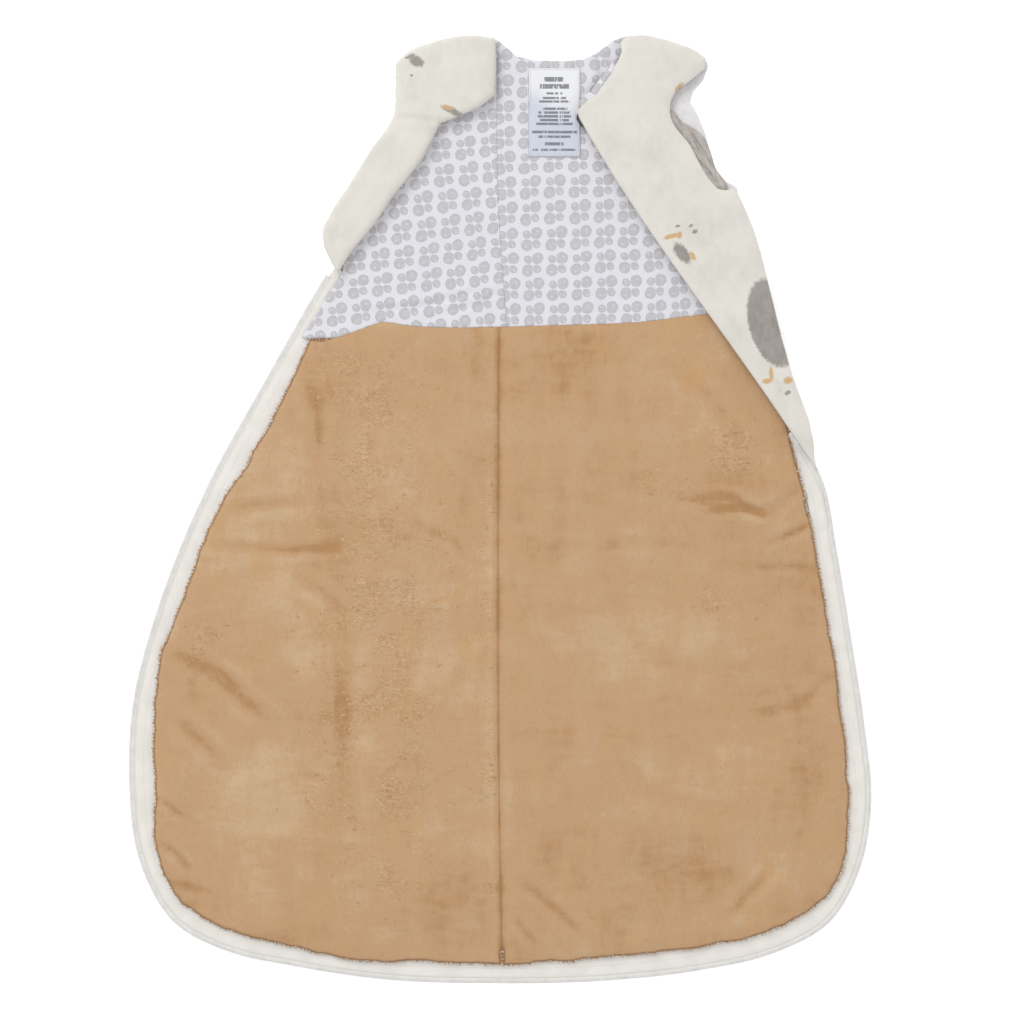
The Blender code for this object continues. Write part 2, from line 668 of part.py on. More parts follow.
def make_flap():
    """The rest of the front, folded under the back with its lining down."""
    edge = flap_zip_edge()
    neck, fold = smooth(FLAP_NECK), smooth(FLAP_FOLD)
    whole = joined(edge, neck, fold)
    spread = FLAP_EDGE_INSET - FLAP_LINING_INSET
    lining = inset(joined(edge, offset(neck, spread), offset(fold, spread)), FLAP_LINING_INSET)
    made = [
        panel("front_flap_shell", inset(whole, 1), FLAP_SHELL, CREAM),
        panel("front_flap_wadding", inset(whole, FLAP_WADDING_INSET), FLAP_WADDING, FILL_WHITE),
    ]
    for side, left_or_right in ((1, "left"), (-1, "right")):
        half = clipped(lining, (side, 0), -SEAM_GAP / MM)
        for up, level, colour in ((-1, "yoke", PRINT), (1, "skirt", TAN)):
            quarter = clipped(half, (0, up), up * YOKE_HEM_HEIGHT - SEAM_GAP / MM)
            made.append(panel(f"front_flap_{level}_{left_or_right}", quarter, FLAP_LINING, colour))
    outer = offset(edge, 2 * COIL_RADIUS + TAPE_TO_COIL)
    inner = offset(edge, FLAP_LINING_INSET + TAPE_UNDER_LINING)[::-1]
    made.append(panel("flap_zip_tape", joined(outer, inner), FLAP_TAPE, TAPE_WHITE))
    coil = offset(flap_zip_edge(COIL_STEP), COIL_RADIUS)
    end = coil[-1].copy()
    pin_start, coil_end = (end + (coil[-2] - end) * share for share in INSERTION_PIN_SHARES)
    coil[-1] = coil_end
    height = FLAP_COIL_HEIGHT * MM
    made.append(tube("flap_zip_coil", coil, np.full(len(coil), height), COIL_RADIUS, COIL_GREY))
    pin = np.array([pin_start, end])
    made.append(tube("zip_insertion_pin", pin, [height, height], PIN_RADIUS, GUNMETAL))
    top, foot = (np.array(end) - CENTRE for end in (FLAP_HINGE_TOP, FLAP_HINGE_FOOT))
    hang(made, empty("flap_swing_axis", top * MM, FLAP_HINGE_HEIGHT, top - foot))


clear_scene()
PARTS = collection("baby_sleeping_bag")
CUTTERS = collection("cutters")
make_back()
make_back_zip()
make_label()
make_front_left()
make_front_right()
make_lapel()
make_slider()
make_pull()
make_flap()
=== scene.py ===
"""Looks of the baby sleeping bag: plush, printed cotton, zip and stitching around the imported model.

Outlines and heights come from the frame wherever a CAD node has them. Lengths in the tables below are in
millimetres, in the frame's own axes, and MM turns them into metres. A sheet is a closed mesh on a plan of
small triangles, with a top and a bottom height at each point.
"""

import json
import math

import bpy
import numpy as np
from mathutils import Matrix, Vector
from mathutils.geometry import delaunay_2d_cdt


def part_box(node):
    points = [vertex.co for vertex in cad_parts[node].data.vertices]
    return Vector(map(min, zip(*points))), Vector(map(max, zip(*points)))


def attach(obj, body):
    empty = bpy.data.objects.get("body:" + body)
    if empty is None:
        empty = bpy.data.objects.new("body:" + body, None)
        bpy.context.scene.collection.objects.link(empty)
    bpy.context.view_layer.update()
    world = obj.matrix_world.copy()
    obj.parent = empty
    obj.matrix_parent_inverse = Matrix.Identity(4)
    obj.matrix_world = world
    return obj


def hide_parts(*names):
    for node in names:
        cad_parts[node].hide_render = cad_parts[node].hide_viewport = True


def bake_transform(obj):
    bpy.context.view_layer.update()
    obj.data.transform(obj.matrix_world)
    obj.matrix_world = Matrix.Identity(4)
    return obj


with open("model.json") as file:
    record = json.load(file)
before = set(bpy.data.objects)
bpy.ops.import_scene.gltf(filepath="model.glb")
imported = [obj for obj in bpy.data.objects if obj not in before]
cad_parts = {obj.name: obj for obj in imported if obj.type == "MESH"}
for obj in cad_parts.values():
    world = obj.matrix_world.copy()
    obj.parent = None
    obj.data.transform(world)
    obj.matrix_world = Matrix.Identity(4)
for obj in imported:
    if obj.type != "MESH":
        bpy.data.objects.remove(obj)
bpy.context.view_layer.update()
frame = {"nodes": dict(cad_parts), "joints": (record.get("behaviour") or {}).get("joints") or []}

MM = 0.001
SHARP_CORNER = math.radians(38)
PLUSH_PITCH = 3.2 * MM
FINE_PITCH = 2.4 * MM
HIDDEN_PITCH = 3 * MM
# Rows of points just inside a plush piece's rim, as shares of its pitch.
PLUSH_RINGS = (0.15, 0.45, 0.9, 1.5)
# An edge that is nearer than this to the back's coil lies on the tape.
ON_TAPE = 24 * MM
# Points of a CAD coil that are nearer than this to each other belong to one of its rings.
ONE_RING = 2.4 * MM
# A coil's filler reaches this far from the coil's middle line: over the tape, and outwards.
WIDE_FILLER = (-2.2 * MM, 1.35 * MM)
NARROW_FILLER = (-0.6 * MM, 0.6 * MM)
TURN_TAPE_WIDTH = 13.5 * MM
ALLOWANCE = 11 * MM

# The camera looks straight down on this middle, and this width fills its picture.
VIEW_MIDDLE = (8.2 * MM, -1.0 * MM)
VIEW_WIDTH = 703.6 * MM
VIEW_PLANE = 17 * MM
LENS = 85
SENSOR = 36

# Lights: place and size in metres, power in watts.
KEY_LIGHT = ((-1.1, 1.5, 1.9), 1.4, 24)
FILL_LIGHT = ((1.6, -0.6, 1.7), 1.6, 4)
SKY_STRENGTH = 0.80
FLOOR_GLOW = 0.34

# Creases in the skirt lining: a path, then its half width and depth.
# Their valleys also get painted shade and their ridges painted highlight in the skirt pile's colour.
SKIRT_CREASES = [
    ([(123, 9), (161, 8), (179, -0.5), (196, 8), (206, 16)], 3.2, 1.5),
    ([(138, -0.5), (175, -0.5), (184, -4.5), (198, 5)], 2.6, 1.1),
    ([(180, -24), (193, -18.6), (214, -8)], 3.0, 1.0),
    ([(176, -39), (196, -38), (214, -40)], 2.6, 0.7),
    ([(31, -25), (64, -25), (98, -22), (140, -26)], 3.6, 0.5),
    ([(120, 100), (150, 70), (172, 40)], 5.0, 0.7),
    ([(-192, 0), (-163, 4), (-136, 6)], 4.0, 1.0),
    ([(-206, -23), (-177, -25), (-145, -27), (-110, -24)], 3.2, 1.0),
    ([(-60, -8), (-48, -14), (-33, -20), (-22, -34)], 3.0, 0.8),
    ([(-140, -44), (-121, -57), (-106, -73)], 4.0, 0.9),
    ([(-228, -96), (-191, -115), (-170, -135), (-150, -152)], 5.0, 1.3),
    ([(-228, -140), (-200, -163), (-186, -180)], 4.5, 1.0),
    ([(-237, -196), (-224, -205), (-214, -212)], 2.4, 1.1),
    ([(-235, -228), (-222, -236), (-212, -249)], 2.4, 1.3),
    ([(-230, -255), (-214, -258), (-196, -264)], 2.6, 0.9),
    ([(-132, 92), (-126, 60), (-128, 20)], 5.0, 0.9),
    ([(-108, -60), (-110, -130), (-106, -210)], 7.0, 0.7),
    ([(38, 60), (42, 10), (36, -60)], 6.0, 0.35),
    ([(70, -170), (120, -200), (170, -206)], 7.0, 0.6),
    ([(230, -110), (206, -132), (176, -140)], 4.0, 0.7),
    ([(153, -282), (172, -262), (190, -242)], 3.6, 1.2),
    ([(12, -252), (36, -272), (60, -294)], 3.4, 1.0),
    ([(9, -280), (18, -290), (28, -300)], 2.6, 0.9),
    ([(-137, -181), (-129, -182), (-121, -185)], 2.4, 0.9),
    ([(118, 8), (150, 3), (176, 0)], 3.0, 0.9),
    ([(192, -19), (204, -15), (214, -9)], 2.4, 1.0),
    ([(-150, -228), (-120, -236), (-90, -236)], 6.0, 0.5),
    ([(96, -96), (130, -110), (168, -112)], 6.0, 0.5),
]
YOKE_CREASES = [
    ([(-96, 133), (-82, 137), (-55, 140), (-30, 147), (-8, 151)], 2.4, 1.5),
    ([(-16, 139), (-4, 149), (5, 158)], 1.8, 1.3),
    ([(-40, 136), (-22, 141), (-6, 144)], 2.0, 0.9),
    ([(-60, 172), (-30, 165), (-6, 168)], 5.0, 0.35),
    ([(20, 210), (60, 200), (100, 176)], 7.0, 0.4),
    ([(66, 316), (70, 300), (60, 284)], 1.8, 1.3),
    ([(73, 318), (78, 302), (70, 288)], 1.8, 1.3),
    ([(80, 320), (84, 306), (80, 292)], 1.8, 1.1),
    ([(60, 310), (57, 297), (50, 288)], 1.8, 0.9),
]
LEFT_PLUSH_CREASES = [([(-74, 268), (-60, 268), (-41, 264)], 2.2, 1.3)]
ROLL_CREASES = [
    ([(117, 268), (124, 256), (131, 246)], 1.1, 0.6), ([(122, 262), (132, 254), (138, 246)], 1.0, 0.5),
    ([(130, 246), (137, 234), (142, 224)], 1.1, 0.6), ([(138, 246), (143, 232), (151, 222)], 1.0, 0.5),
]
RIGHT_PLUSH_CREASES = [
    ([(113, 288), (104, 292), (92, 300)], 5.0, 0.7),
    ([(196, 120), (186, 90), (196, 66)], 6.0, 0.6),
]

# Worn, flattened or brushed stretches of the skirt's pile: middle, radii, turn, and darker or paler. One
# large pale patch is a painted pool of light.
PILE_TONE_AND_LIGHT_PATCHES = [
    ((-121, 40), (16, 95), 4, 0.75), ((-117, -150), (14, 120), -3, 0.8),
    ((-75, 20), (30, 110), 0, 0.25), ((-165, -40), (30, 80), -20, -0.5),
    ((-168, -190), (38, 90), 8, -0.75), ((-205, -110), (26, 50), 30, 0.45),
    ((-40, -60), (26, 190), 0, -0.25), ((60, 30), (40, 90), 10, 0.3),
    ((110, -20), (40, 60), 0, -0.2), ((60, -140), (60, 90), 0, -0.3),
    ((170, -20), (50, 30), -15, 0.5), ((190, -110), (35, 80), 5, 0.3),
    ((-50, -270), (60, 30), 5, 0.5), ((90, -250), (70, 40), 0, 0.3),
    ((30, 90), (40, 30), 0, 0.35), ((-100, 90), (40, 25), 0, 0.4),
    ((189, -251), (12, 16), -40, -1.0), ((120, -236), (44, 26), 20, 0.55),
    ((150, -180), (30, 22), 0, -0.6), ((205, -205), (14, 40), -8, 0.5),
    # The next line's first patch is a painted pool of light over the skirt's right side.
    ((170, -100), (80, 170), 0, -0.3), ((40, -220), (26, 34), 10, 0.5),
    ((94, -290), (40, 12), 10, -0.5), ((-129.5, 51), (3, 24), 0, -1.3),
    ((-116, -126), (2.5, 46), 2, -1.0), ((-104, -128), (3, 40), 0, 0.6),
]
FLUFF_PATCHES = [
    ((-88, 70), (28, 62)), ((-78, -30), (30, 60)), ((-82, -110), (36, 66)), ((-84, -205), (32, 54)),
    ((-112, 95), (14, 16)), ((150, -60), (14, 12)), ((130, 14), (20, 14)), ((-8, -120), (6, 150)),
    ((-205, -95), (14, 16)), ((160, 40), (16, 16)), ((-60, -255), (16, 14)),
]

# Soft printed spots on the plush: middle, radii and turn.
GREY_SPOTS = [
    ((187.0, 128.5), (17.0, 31.0), 14),
    ((124.5, 176.2), (4.2, 8.2), 38),
    ((-57.0, 306.8), (5.4, 3.6), -24), ((-60.5, 310.2), (3.0, 2.0), 20), ((-72.5, 310.8), (1.4, 1.2), 0),
    ((-33.0, 273.2), (7.5, 2.2), -24),
    ((196.8, 80.6), (2.2, 1.4), 30), ((121.6, 194.6), (2.2, 0.9), 10), ((130.6, 194.8), (1.6, 1.0), 40),
    ((133.3, 190.8), (1.9, 1.4), 20), ((-63.8, 309.4), (1.2, 0.9), 0), ((-60.4, 297.2), (1.1, 0.9), 0),
]
OCHRE_SPOTS = [
    ((185.6, 93.2), (1.5, 5.2), 4), ((182.6, 88.6), (3.3, 1.8), 10), ((197.0, 89.0), (3.2, 2.4), 20),
    ((117.0, 187.6), (5.2, 1.7), 16), ((122.6, 188.4), (1.7, 2.6), -10), ((131.8, 174.2), (1.8, 3.4), 34),
    ((122.4, 289.0), (1.9, 4.2), -34), ((-35.5, 275.4), (4.0, 1.5), -16),
]

# The care label's bars: height up the label, thickness and width.
LABEL_BARS = [
    (53.2, 3.2, 14), (48.4, 3.2, 20), (43.6, 1.5, 11), (40.4, 1.6, 16), (38.0, 1.6, 21), (33.0, 1.7, 18),
    (30.4, 1.7, 22), (27.8, 1.7, 23), (25.2, 1.7, 20), (22.6, 1.7, 25), (17.0, 1.9, 31), (13.8, 1.7, 22),
    (8.9, 2.2, 13), (4.8, 1.6, 30),
]

# Linear colours.
CREAM = (0.700, 0.678, 0.628)
CREAM_SHADE = (0.640, 0.618, 0.570)
CREAM_TUFT = (0.760, 0.732, 0.672)
CREAM_ROOT = (0.540, 0.510, 0.450)
GREY = (0.385, 0.348, 0.322)
GREY_PALE = (0.490, 0.455, 0.428)
GREY_DEEP = (0.255, 0.228, 0.208)
GREY_TIP = (0.640, 0.610, 0.580)
PRINTED_GREY = (0.285, 0.258, 0.238)
PRINTED_GREY_WORN = (0.350, 0.322, 0.300)
PRINTED_OCHRE = (0.600, 0.395, 0.205)
TAN = (0.520, 0.330, 0.182)
TAN_DEEP = (0.420, 0.235, 0.108)
TAN_PALE = (0.590, 0.420, 0.262)
TAN_TIP = (0.730, 0.510, 0.300)
# Painted shade along the skirt's free edge on the tape.
TAN_EDGE_SHADE = (0.280, 0.140, 0.065)
TAN_DULL = (0.560, 0.393, 0.242)
TAN_ROSY = (0.535, 0.364, 0.226)
TAN_GOLDEN = (0.545, 0.335, 0.160)
TAN_FIBRE = (0.36, 0.20, 0.10)
# Painted shade at the roots of the skirt's curls.
TAN_CURL_SHADE = (0.33, 0.18, 0.085)
TAN_SHEEN = (1.0, 0.80, 0.56, 1.0)
COTTON = (0.720, 0.715, 0.755)
COTTON_SHADE = (0.700, 0.697, 0.742)
COTTON_PRINT = (0.505, 0.497, 0.520)
COTTON_PRINT_WORN = (0.560, 0.552, 0.578)
COTTON_PRINT_EDGE = (0.450, 0.440, 0.460)
JERSEY = (0.800, 0.785, 0.790)
JERSEY_SHADE = (0.700, 0.690, 0.700)
TAPE = (0.860, 0.830, 0.780)
TAPE_WARM = (0.800, 0.772, 0.724)
TAPE_SHADE = (0.560, 0.545, 0.515)
NYLON = (0.800, 0.788, 0.760)
NYLON_SHADE = (0.730, 0.720, 0.695)
THREAD = (0.880, 0.860, 0.820)
THREAD_SHADE = (0.800, 0.782, 0.740)
LABEL = (0.575, 0.605, 0.700)
LABEL_PALE = (0.780, 0.785, 0.815)
LABEL_INK = (0.150, 0.155, 0.180)
METAL = (0.075, 0.075, 0.080)
METAL_WORN = (0.115, 0.112, 0.110)
RESIN = (0.680, 0.672, 0.645)
RESIN_SHADE = (0.680, 0.675, 0.650)
FLOOR = (0.950, 0.950, 0.950)
FLOOR_SHADE = (0.94, 0.94, 0.94)
WHITE = (1.0, 1.0, 1.0, 1.0)


# ---------------------------------------------------------------- outlines and plans


def travelled(path):
    """How far along a path each of its points is."""
    return np.concatenate([[0], np.cumsum(np.linalg.norm(np.diff(path, axis=0), axis=1))])


def length_of(path):
    """A path's whole length."""
    return float(np.linalg.norm(np.diff(path, axis=0), axis=1).sum())


def unit(vectors):
    """The same directions, each with length 1."""
    return vectors / np.linalg.norm(vectors, axis=1)[:, None]


def inward_of(path):
    """The directions to the left of a plan path, which are inwards on a counter-clockwise outline."""
    along = unit(np.gradient(path, axis=0))
    return np.stack([-along[:, 1], along[:, 0]], axis=1)


def run_start(flags):
    """Where the first run of flagged points starts on a closed outline."""
    return next(k for k in range(len(flags)) if flags[k] and not flags[k - 1])


def spline(points, pitch):
    """Points about a pitch apart on a smooth open curve through the given ones."""
    p = np.asarray(points, float)
    t = travelled(p)
    slope = np.gradient(p, t, axis=0)
    found = [p[:1]]
    for i, span in enumerate(np.diff(t)):
        u = np.linspace(0, 1, max(1, round(span / pitch)) + 1)[1:, None]
        found.append(
            (1 + 2 * u) * (1 - u) ** 2 * p[i]
            + u * (1 - u) ** 2 * span * slope[i]
            + u**2 * (3 - 2 * u) * p[i + 1]
            + u**2 * (u - 1) * span * slope[i + 1]
        )
    return np.concatenate(found)


def refined(loop, pitch):
    """A closed outline with points about a pitch apart, curved between its sharp corners."""
    into = unit(loop - np.roll(loop, 1, axis=0))
    straight = (into * np.roll(into, -1, axis=0)).sum(1)
    corners = np.flatnonzero(straight < math.cos(SHARP_CORNER))
    if not len(corners):
        corners = np.array([0])
    found = []
    for start, stop in zip(corners, np.roll(corners, -1)):
        count = (stop - start) % len(loop) or len(loop)
        stretch = loop[(start + np.arange(count + 1)) % len(loop)]
        found.append(spline(stretch, pitch)[:-1])
    return np.concatenate(found)


def boundary(triangles):
    """The closed outlines of a set of triangles, as lists of point numbers, longest first."""
    ends = {(a, b) for t in triangles.tolist() for a, b in zip(t, t[1:] + t[:1])}
    following = {}
    for a, b in sorted(ends):
        if (b, a) not in ends:
            following.setdefault(a, []).append(b)
    loops = []
    while following:
        start = here = next(iter(following))
        loop = []
        while here != start or not loop:
            loop.append(here)
            after = following[here].pop()
            if not following[here]:
                del following[here]
            here = after
        loops.append(loop)
    return sorted(loops, key=len, reverse=True)


def node_mesh(node):
    """A CAD node's points, each once, and its triangles."""
    mesh = frame["nodes"][node].data
    mesh.calc_loop_triangles()
    points = np.array([v.co for v in mesh.vertices])
    points, index = np.unique(np.round(points, 6), axis=0, return_inverse=True)
    triangles = np.array([t.vertices for t in mesh.loop_triangles])
    return points, index.reshape(-1)[triangles]


def outline_of(node):
    """A flat CAD node's outline in plan, counter-clockwise."""
    points, triangles = node_mesh(node)
    a, b, c = points[triangles].transpose(1, 0, 2)
    normal = np.cross(b - a, c - a)
    up = triangles[normal[:, 2] > 0.5 * np.linalg.norm(normal, axis=1)]
    return points[boundary(up)[0]][:, :2]


def heights_of(node):
    """A CAD node's lowest and highest z."""
    low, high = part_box(node)
    return low[2], high[2]


def low_of(node):
    """A CAD node's lowest z."""
    return heights_of(node)[0]


def top_of(node):
    """A CAD node's highest z."""
    return heights_of(node)[1]


def centreline(node):
    """The path that a CAD coil or pin follows, from the middles of its rings."""
    points, triangles = node_mesh(node)
    pairs = np.unique(
        np.sort(np.concatenate([triangles[:, [0, 1]], triangles[:, [1, 2]], triangles[:, [2, 0]]]), axis=1),
        axis=0,
    )
    span = np.linalg.norm(points[pairs[:, 0]] - points[pairs[:, 1]], axis=1)
    ring = np.arange(len(points))
    for a, b in pairs[span < ONE_RING]:
        ring[ring == ring[a]] = ring[b]
    names, ring, counts = np.unique(ring, return_inverse=True, return_counts=True)
    middles = np.array([points[ring == k].mean(0) for k in range(len(names))])
    beside = {k: set() for k in range(len(names))}
    for a, b in ring[pairs[span >= ONE_RING]]:
        if a != b:
            beside[a].add(b)
            beside[b].add(a)
    left = [k for k in beside if counts[k] == counts.max()]
    order = [next(k for k in left if len(beside[k]) == 1)]
    left.remove(order[0])
    while left:
        gaps = np.linalg.norm(middles[left] - middles[order[-1]], axis=1)
        order.append(left.pop(int(gaps.argmin())))
    return middles[order]


def nearest(plan, path, closed=True):
    """How far each point is from a path, and where along it, as a share of its length."""
    a = path if closed else path[:-1]
    b = np.roll(path, -1, axis=0) if closed else path[1:]
    run = b - a
    length = np.linalg.norm(run, axis=1)
    reach = np.concatenate([[0], np.cumsum(length)])
    far, share = np.empty(len(plan)), np.empty(len(plan))
    for i in range(0, len(plan), 4000):
        part = plan[i : i + 4000]
        u = np.clip(((part[:, None] - a) * run).sum(2) / length**2, 0, 1)
        gap = np.linalg.norm(part[:, None] - a - u[..., None] * run, axis=2)
        k = gap.argmin(1)
        rows = np.arange(len(part))
        far[i : i + 4000] = gap[rows, k]
        share[i : i + 4000] = (reach[k] + u[rows, k] * length[k]) / reach[-1]
    return far, share


def far_from(plan, coil):
    """How far plan points are from a coil, seen from above."""
    return nearest(plan, coil[:, :2], closed=False)[0]


def inside(plan, loop):
    """Whether each point is inside a closed outline."""
    (x, y), (ax, ay) = plan.T[:, :, None], loop.T
    bx, by = np.roll(loop, -1, axis=0).T
    crossing = (ay > y) != (by > y)
    run = np.where(np.abs(by - ay) < 1e-12, 1e-12, by - ay)
    return ((crossing & (x < (bx - ax) * (y - ay) / run + ax)).sum(1) % 2).astype(bool)


def depth_in(plan, loop):
    """How deep each point is inside a closed outline, below 0 outside it."""
    far = nearest(plan, loop)[0]
    return np.where(inside(plan, loop), far, -far)


def union(loops):
    """The outline round overlapping ones."""
    points = [Vector(p) for loop in loops for p in loop]
    starts = np.cumsum([0] + [len(loop) for loop in loops])
    faces = [list(range(a, b)) for a, b in zip(starts, starts[1:])]
    found = delaunay_2d_cdt(points, [], faces, 1, 1e-7)
    triangles = oriented(np.array(found[0]), np.array(found[2]))
    return np.array(found[0])[boundary(triangles)[0]]


def merged(loops, gap=5 * MM):
    """One outline round neighbouring ones, with the narrow gaps between them closed."""
    closed = moved(union([moved(loop, -gap) for loop in loops]), gap)
    return union([closed, *loops])


def moved(loop, distance):
    """A closed counter-clockwise outline moved inwards, or outwards by less than 0, without its folds."""
    run = unit(np.roll(loop, -1, axis=0) - loop)
    inward = np.stack([-run[:, 1], run[:, 0]], axis=1)
    both = inward + np.roll(inward, 1, axis=0)
    shifted = loop + distance * both / np.maximum((both**2).sum(1) / 2, 0.4)[:, None]
    return shifted[nearest(shifted, loop)[0] > 0.94 * abs(distance)]


def point_at(path, share, closed=True):
    """The points of a path at shares of its length, in as many axes as the path has."""
    path = np.concatenate([path, path[:1]]) if closed else path
    reach = travelled(path[:, :2])
    return np.column_stack([np.interp(share * reach[-1], reach, axis) for axis in path.T])


def drawn_to(loop, target, reach, share):
    """An outline whose points near a target outline are moved a share of the way to it."""
    far, along = nearest(loop, target)
    near = (far < reach)[:, None]
    return np.where(near, loop + share * (point_at(target, along) - loop), loop)


def doubled_areas(points, triangles):
    """Twice each triangle's area in plan, below 0 where it is clockwise."""
    a, b, c = points[triangles].transpose(1, 0, 2)
    return (b - a)[:, 0] * (c - a)[:, 1] - (b - a)[:, 1] * (c - a)[:, 0]


def oriented(points, triangles):
    """The triangles, all counter-clockwise in plan."""
    clockwise = doubled_areas(points, triangles) < 0
    found = triangles.copy()
    found[clockwise] = triangles[clockwise][:, ::-1]
    return found


class Plan:
    """A filled outline: points, triangles, which points are on the rim, and how deep in each one is."""

    def __init__(self, loop, pitch, rings=(0.25, 0.8), seed=1):
        self.loop = refined(loop, 2 * pitch)
        edge = refined(loop, pitch)
        low, high = edge.min(0), edge.max(0)
        rows = np.arange(low[1], high[1], pitch * math.sqrt(0.75))
        columns = np.arange(low[0], high[0] + pitch, pitch)
        x = columns[None] - (np.arange(len(rows)) % 2)[:, None] * pitch / 2
        grid = np.stack([x, np.broadcast_to(rows[:, None], x.shape)], axis=-1).reshape(-1, 2)
        grid = grid + np.random.default_rng(seed).uniform(-0.14, 0.14, grid.shape) * pitch
        grid = grid[inside(grid, edge)]
        far = nearest(grid, self.loop)[0]
        clear = (max(rings, default=0) + 0.7) * pitch
        parts = [edge]
        for ring in rings:
            parts.append(moved(edge, ring * pitch))
        parts.append(grid[far > clear])
        points = np.concatenate(parts)
        found = delaunay_2d_cdt([Vector(p) for p in points], [], [list(range(len(edge)))], 1, 1e-7)
        points, triangles = np.array(found[0]), np.array(found[2])
        triangles = oriented(points, triangles)
        rim = np.zeros(len(points), bool)
        for loop_found in boundary(triangles):
            rim[loop_found] = True
        ears = rim[triangles].all(1)
        extra = points[triangles[ears]].mean(1)
        fans = [
            (a, b, len(points) + k)
            for k, t in enumerate(triangles[ears].tolist())
            for a, b in zip(t, t[1:] + t[:1])
        ]
        self.points = np.concatenate([points, extra])
        self.triangles = np.concatenate([triangles[~ears], np.array(fans, int).reshape(-1, 3)])
        self.rim = np.concatenate([rim, np.zeros(len(extra), bool)])
        self.depth = np.where(self.rim, 0.0, nearest(self.points, self.loop)[0])

    def area(self):
        """The plan's area."""
        return float(abs(doubled_areas(self.points, self.triangles)).sum() / 2)

    def size(self):
        """The plan's width and length."""
        return tuple(float(s) for s in np.ptp(self.points, axis=0))


# ---------------------------------------------------------------- heights


def ease(values, start, end):
    """0 at start and 1 at end, smooth between."""
    t = np.clip((values - start) / (end - start), 0, 1)
    return t * t * (3 - 2 * t)


def rounded(depth, radius):
    """The profile of a rounded edge: 0 on the rim, 1 from one radius in."""
    t = np.clip(depth / radius, 0, 1)
    return np.sqrt(1 - (1 - t) ** 2)


def turning(degrees):
    """The matrix that turns plan points, given as rows, into axes turned by an angle."""
    c, s = math.cos(math.radians(degrees)), math.sin(math.radians(degrees))
    return np.array([[c, -s], [s, c]])


def noise(plan, size, seed, turn=0.0):
    """Smooth lumps between -1 and 1 of about a size in millimetres, one number or one for each axis."""
    p = plan @ turning(turn) / (np.array(size, float) * MM) + 500
    cell = np.floor(p).astype(int)
    f = p - cell
    f = f * f * (3 - 2 * f)
    lattice = np.random.default_rng(seed).uniform(-1, 1, (97, 97))
    i, j = cell.T % 97
    k, m = (i + 1) % 97, (j + 1) % 97
    low = lattice[i, j] * (1 - f[:, 0]) + lattice[k, j] * f[:, 0]
    high = lattice[i, m] * (1 - f[:, 0]) + lattice[k, m] * f[:, 0]
    return low * (1 - f[:, 1]) + high * f[:, 1]


def creased(plan, creases):
    """Valleys along paths, each with a low ridge beside it and fading at its ends."""
    z = np.zeros(len(plan))
    for path, width, depth in creases:
        path = spline(np.array(path) * MM, 4 * MM)
        far, share = nearest(plan, path, closed=False)
        fade = np.sin(math.pi * np.clip(share, 0.02, 0.98)) ** 0.6
        far = far / (width * MM)
        z += depth * MM * fade * (0.45 * np.exp(-((far - 1.9) ** 2)) - np.exp(-(far**2)))
    return z


def patched(plan, patches):
    """The sum of soft oval patches: middle, radii, turn and strength."""
    total = np.zeros(len(plan))
    for (x, y), (rx, ry), turn, strength in patches:
        p = (plan / MM - (x, y)) @ turning(turn) / (rx, ry)
        total += strength * np.exp(-((p**2).sum(1)))
    return total


def plush_lumps(plan, broad, middling, fine):
    """Soft lumps of three sizes, with their heights in millimetres."""
    return broad * noise(plan, 13, 51) + middling * noise(plan, 6, 52) + fine * noise(plan, 3, 53)


# ---------------------------------------------------------------- meshes


def linked(name, data):
    """An object of some data, linked into the scene."""
    obj = bpy.data.objects.new(name, data)
    bpy.context.scene.collection.objects.link(obj)
    return obj


def object_of(name, points, faces, material, smooth=True):
    """A mesh object of one material."""
    mesh = bpy.data.meshes.new(name)
    mesh.from_pydata(np.asarray(points).tolist(), [], [list(map(int, f)) for f in faces])
    mesh.materials.append(material)
    if smooth:
        mesh.shade_smooth()
    mesh.update()
    return linked(name, mesh)


def keep_value(obj, key, data):
    """Keeps a number for each point of a mesh, which its material reads as an attribute."""
    attribute = obj.data.attributes.new(key, "FLOAT", "POINT")
    attribute.data.foreach_set("value", data.astype(np.float32))


def sheet_mesh(name, plan, top, bottom, material, walled=False, **values):
    """A closed mesh over a plan, drawn to an edge at its rim, or walled there. Values become attributes."""
    count = len(plan.points)
    top, bottom = np.broadcast_to(top, count), np.broadcast_to(bottom, count)
    if not walled:
        top = np.where(plan.rim, (top + bottom) / 2, top)
    doubled = np.ones(count, bool) if walled else ~plan.rim
    under = np.arange(count)
    under[doubled] = count + np.arange(doubled.sum())
    points = np.concatenate([
        np.column_stack([plan.points, top]),
        np.column_stack([plan.points[doubled], bottom[doubled]]),
    ])
    faces = np.concatenate([plan.triangles, under[plan.triangles[:, ::-1]]]).tolist()
    if walled:
        for loop in boundary(plan.triangles):
            faces += [[b, a, int(under[a]), int(under[b])] for a, b in zip(loop, loop[1:] + loop[:1])]
    obj = object_of(name, points, faces, material)
    for key, value in values.items():
        value = np.broadcast_to(value, count)
        keep_value(obj, key, np.concatenate([value, value[doubled]]))
    return obj


def ring_turn(sides):
    """The angles of a ring's points."""
    return np.linspace(0, 2 * math.pi, sides, endpoint=False)


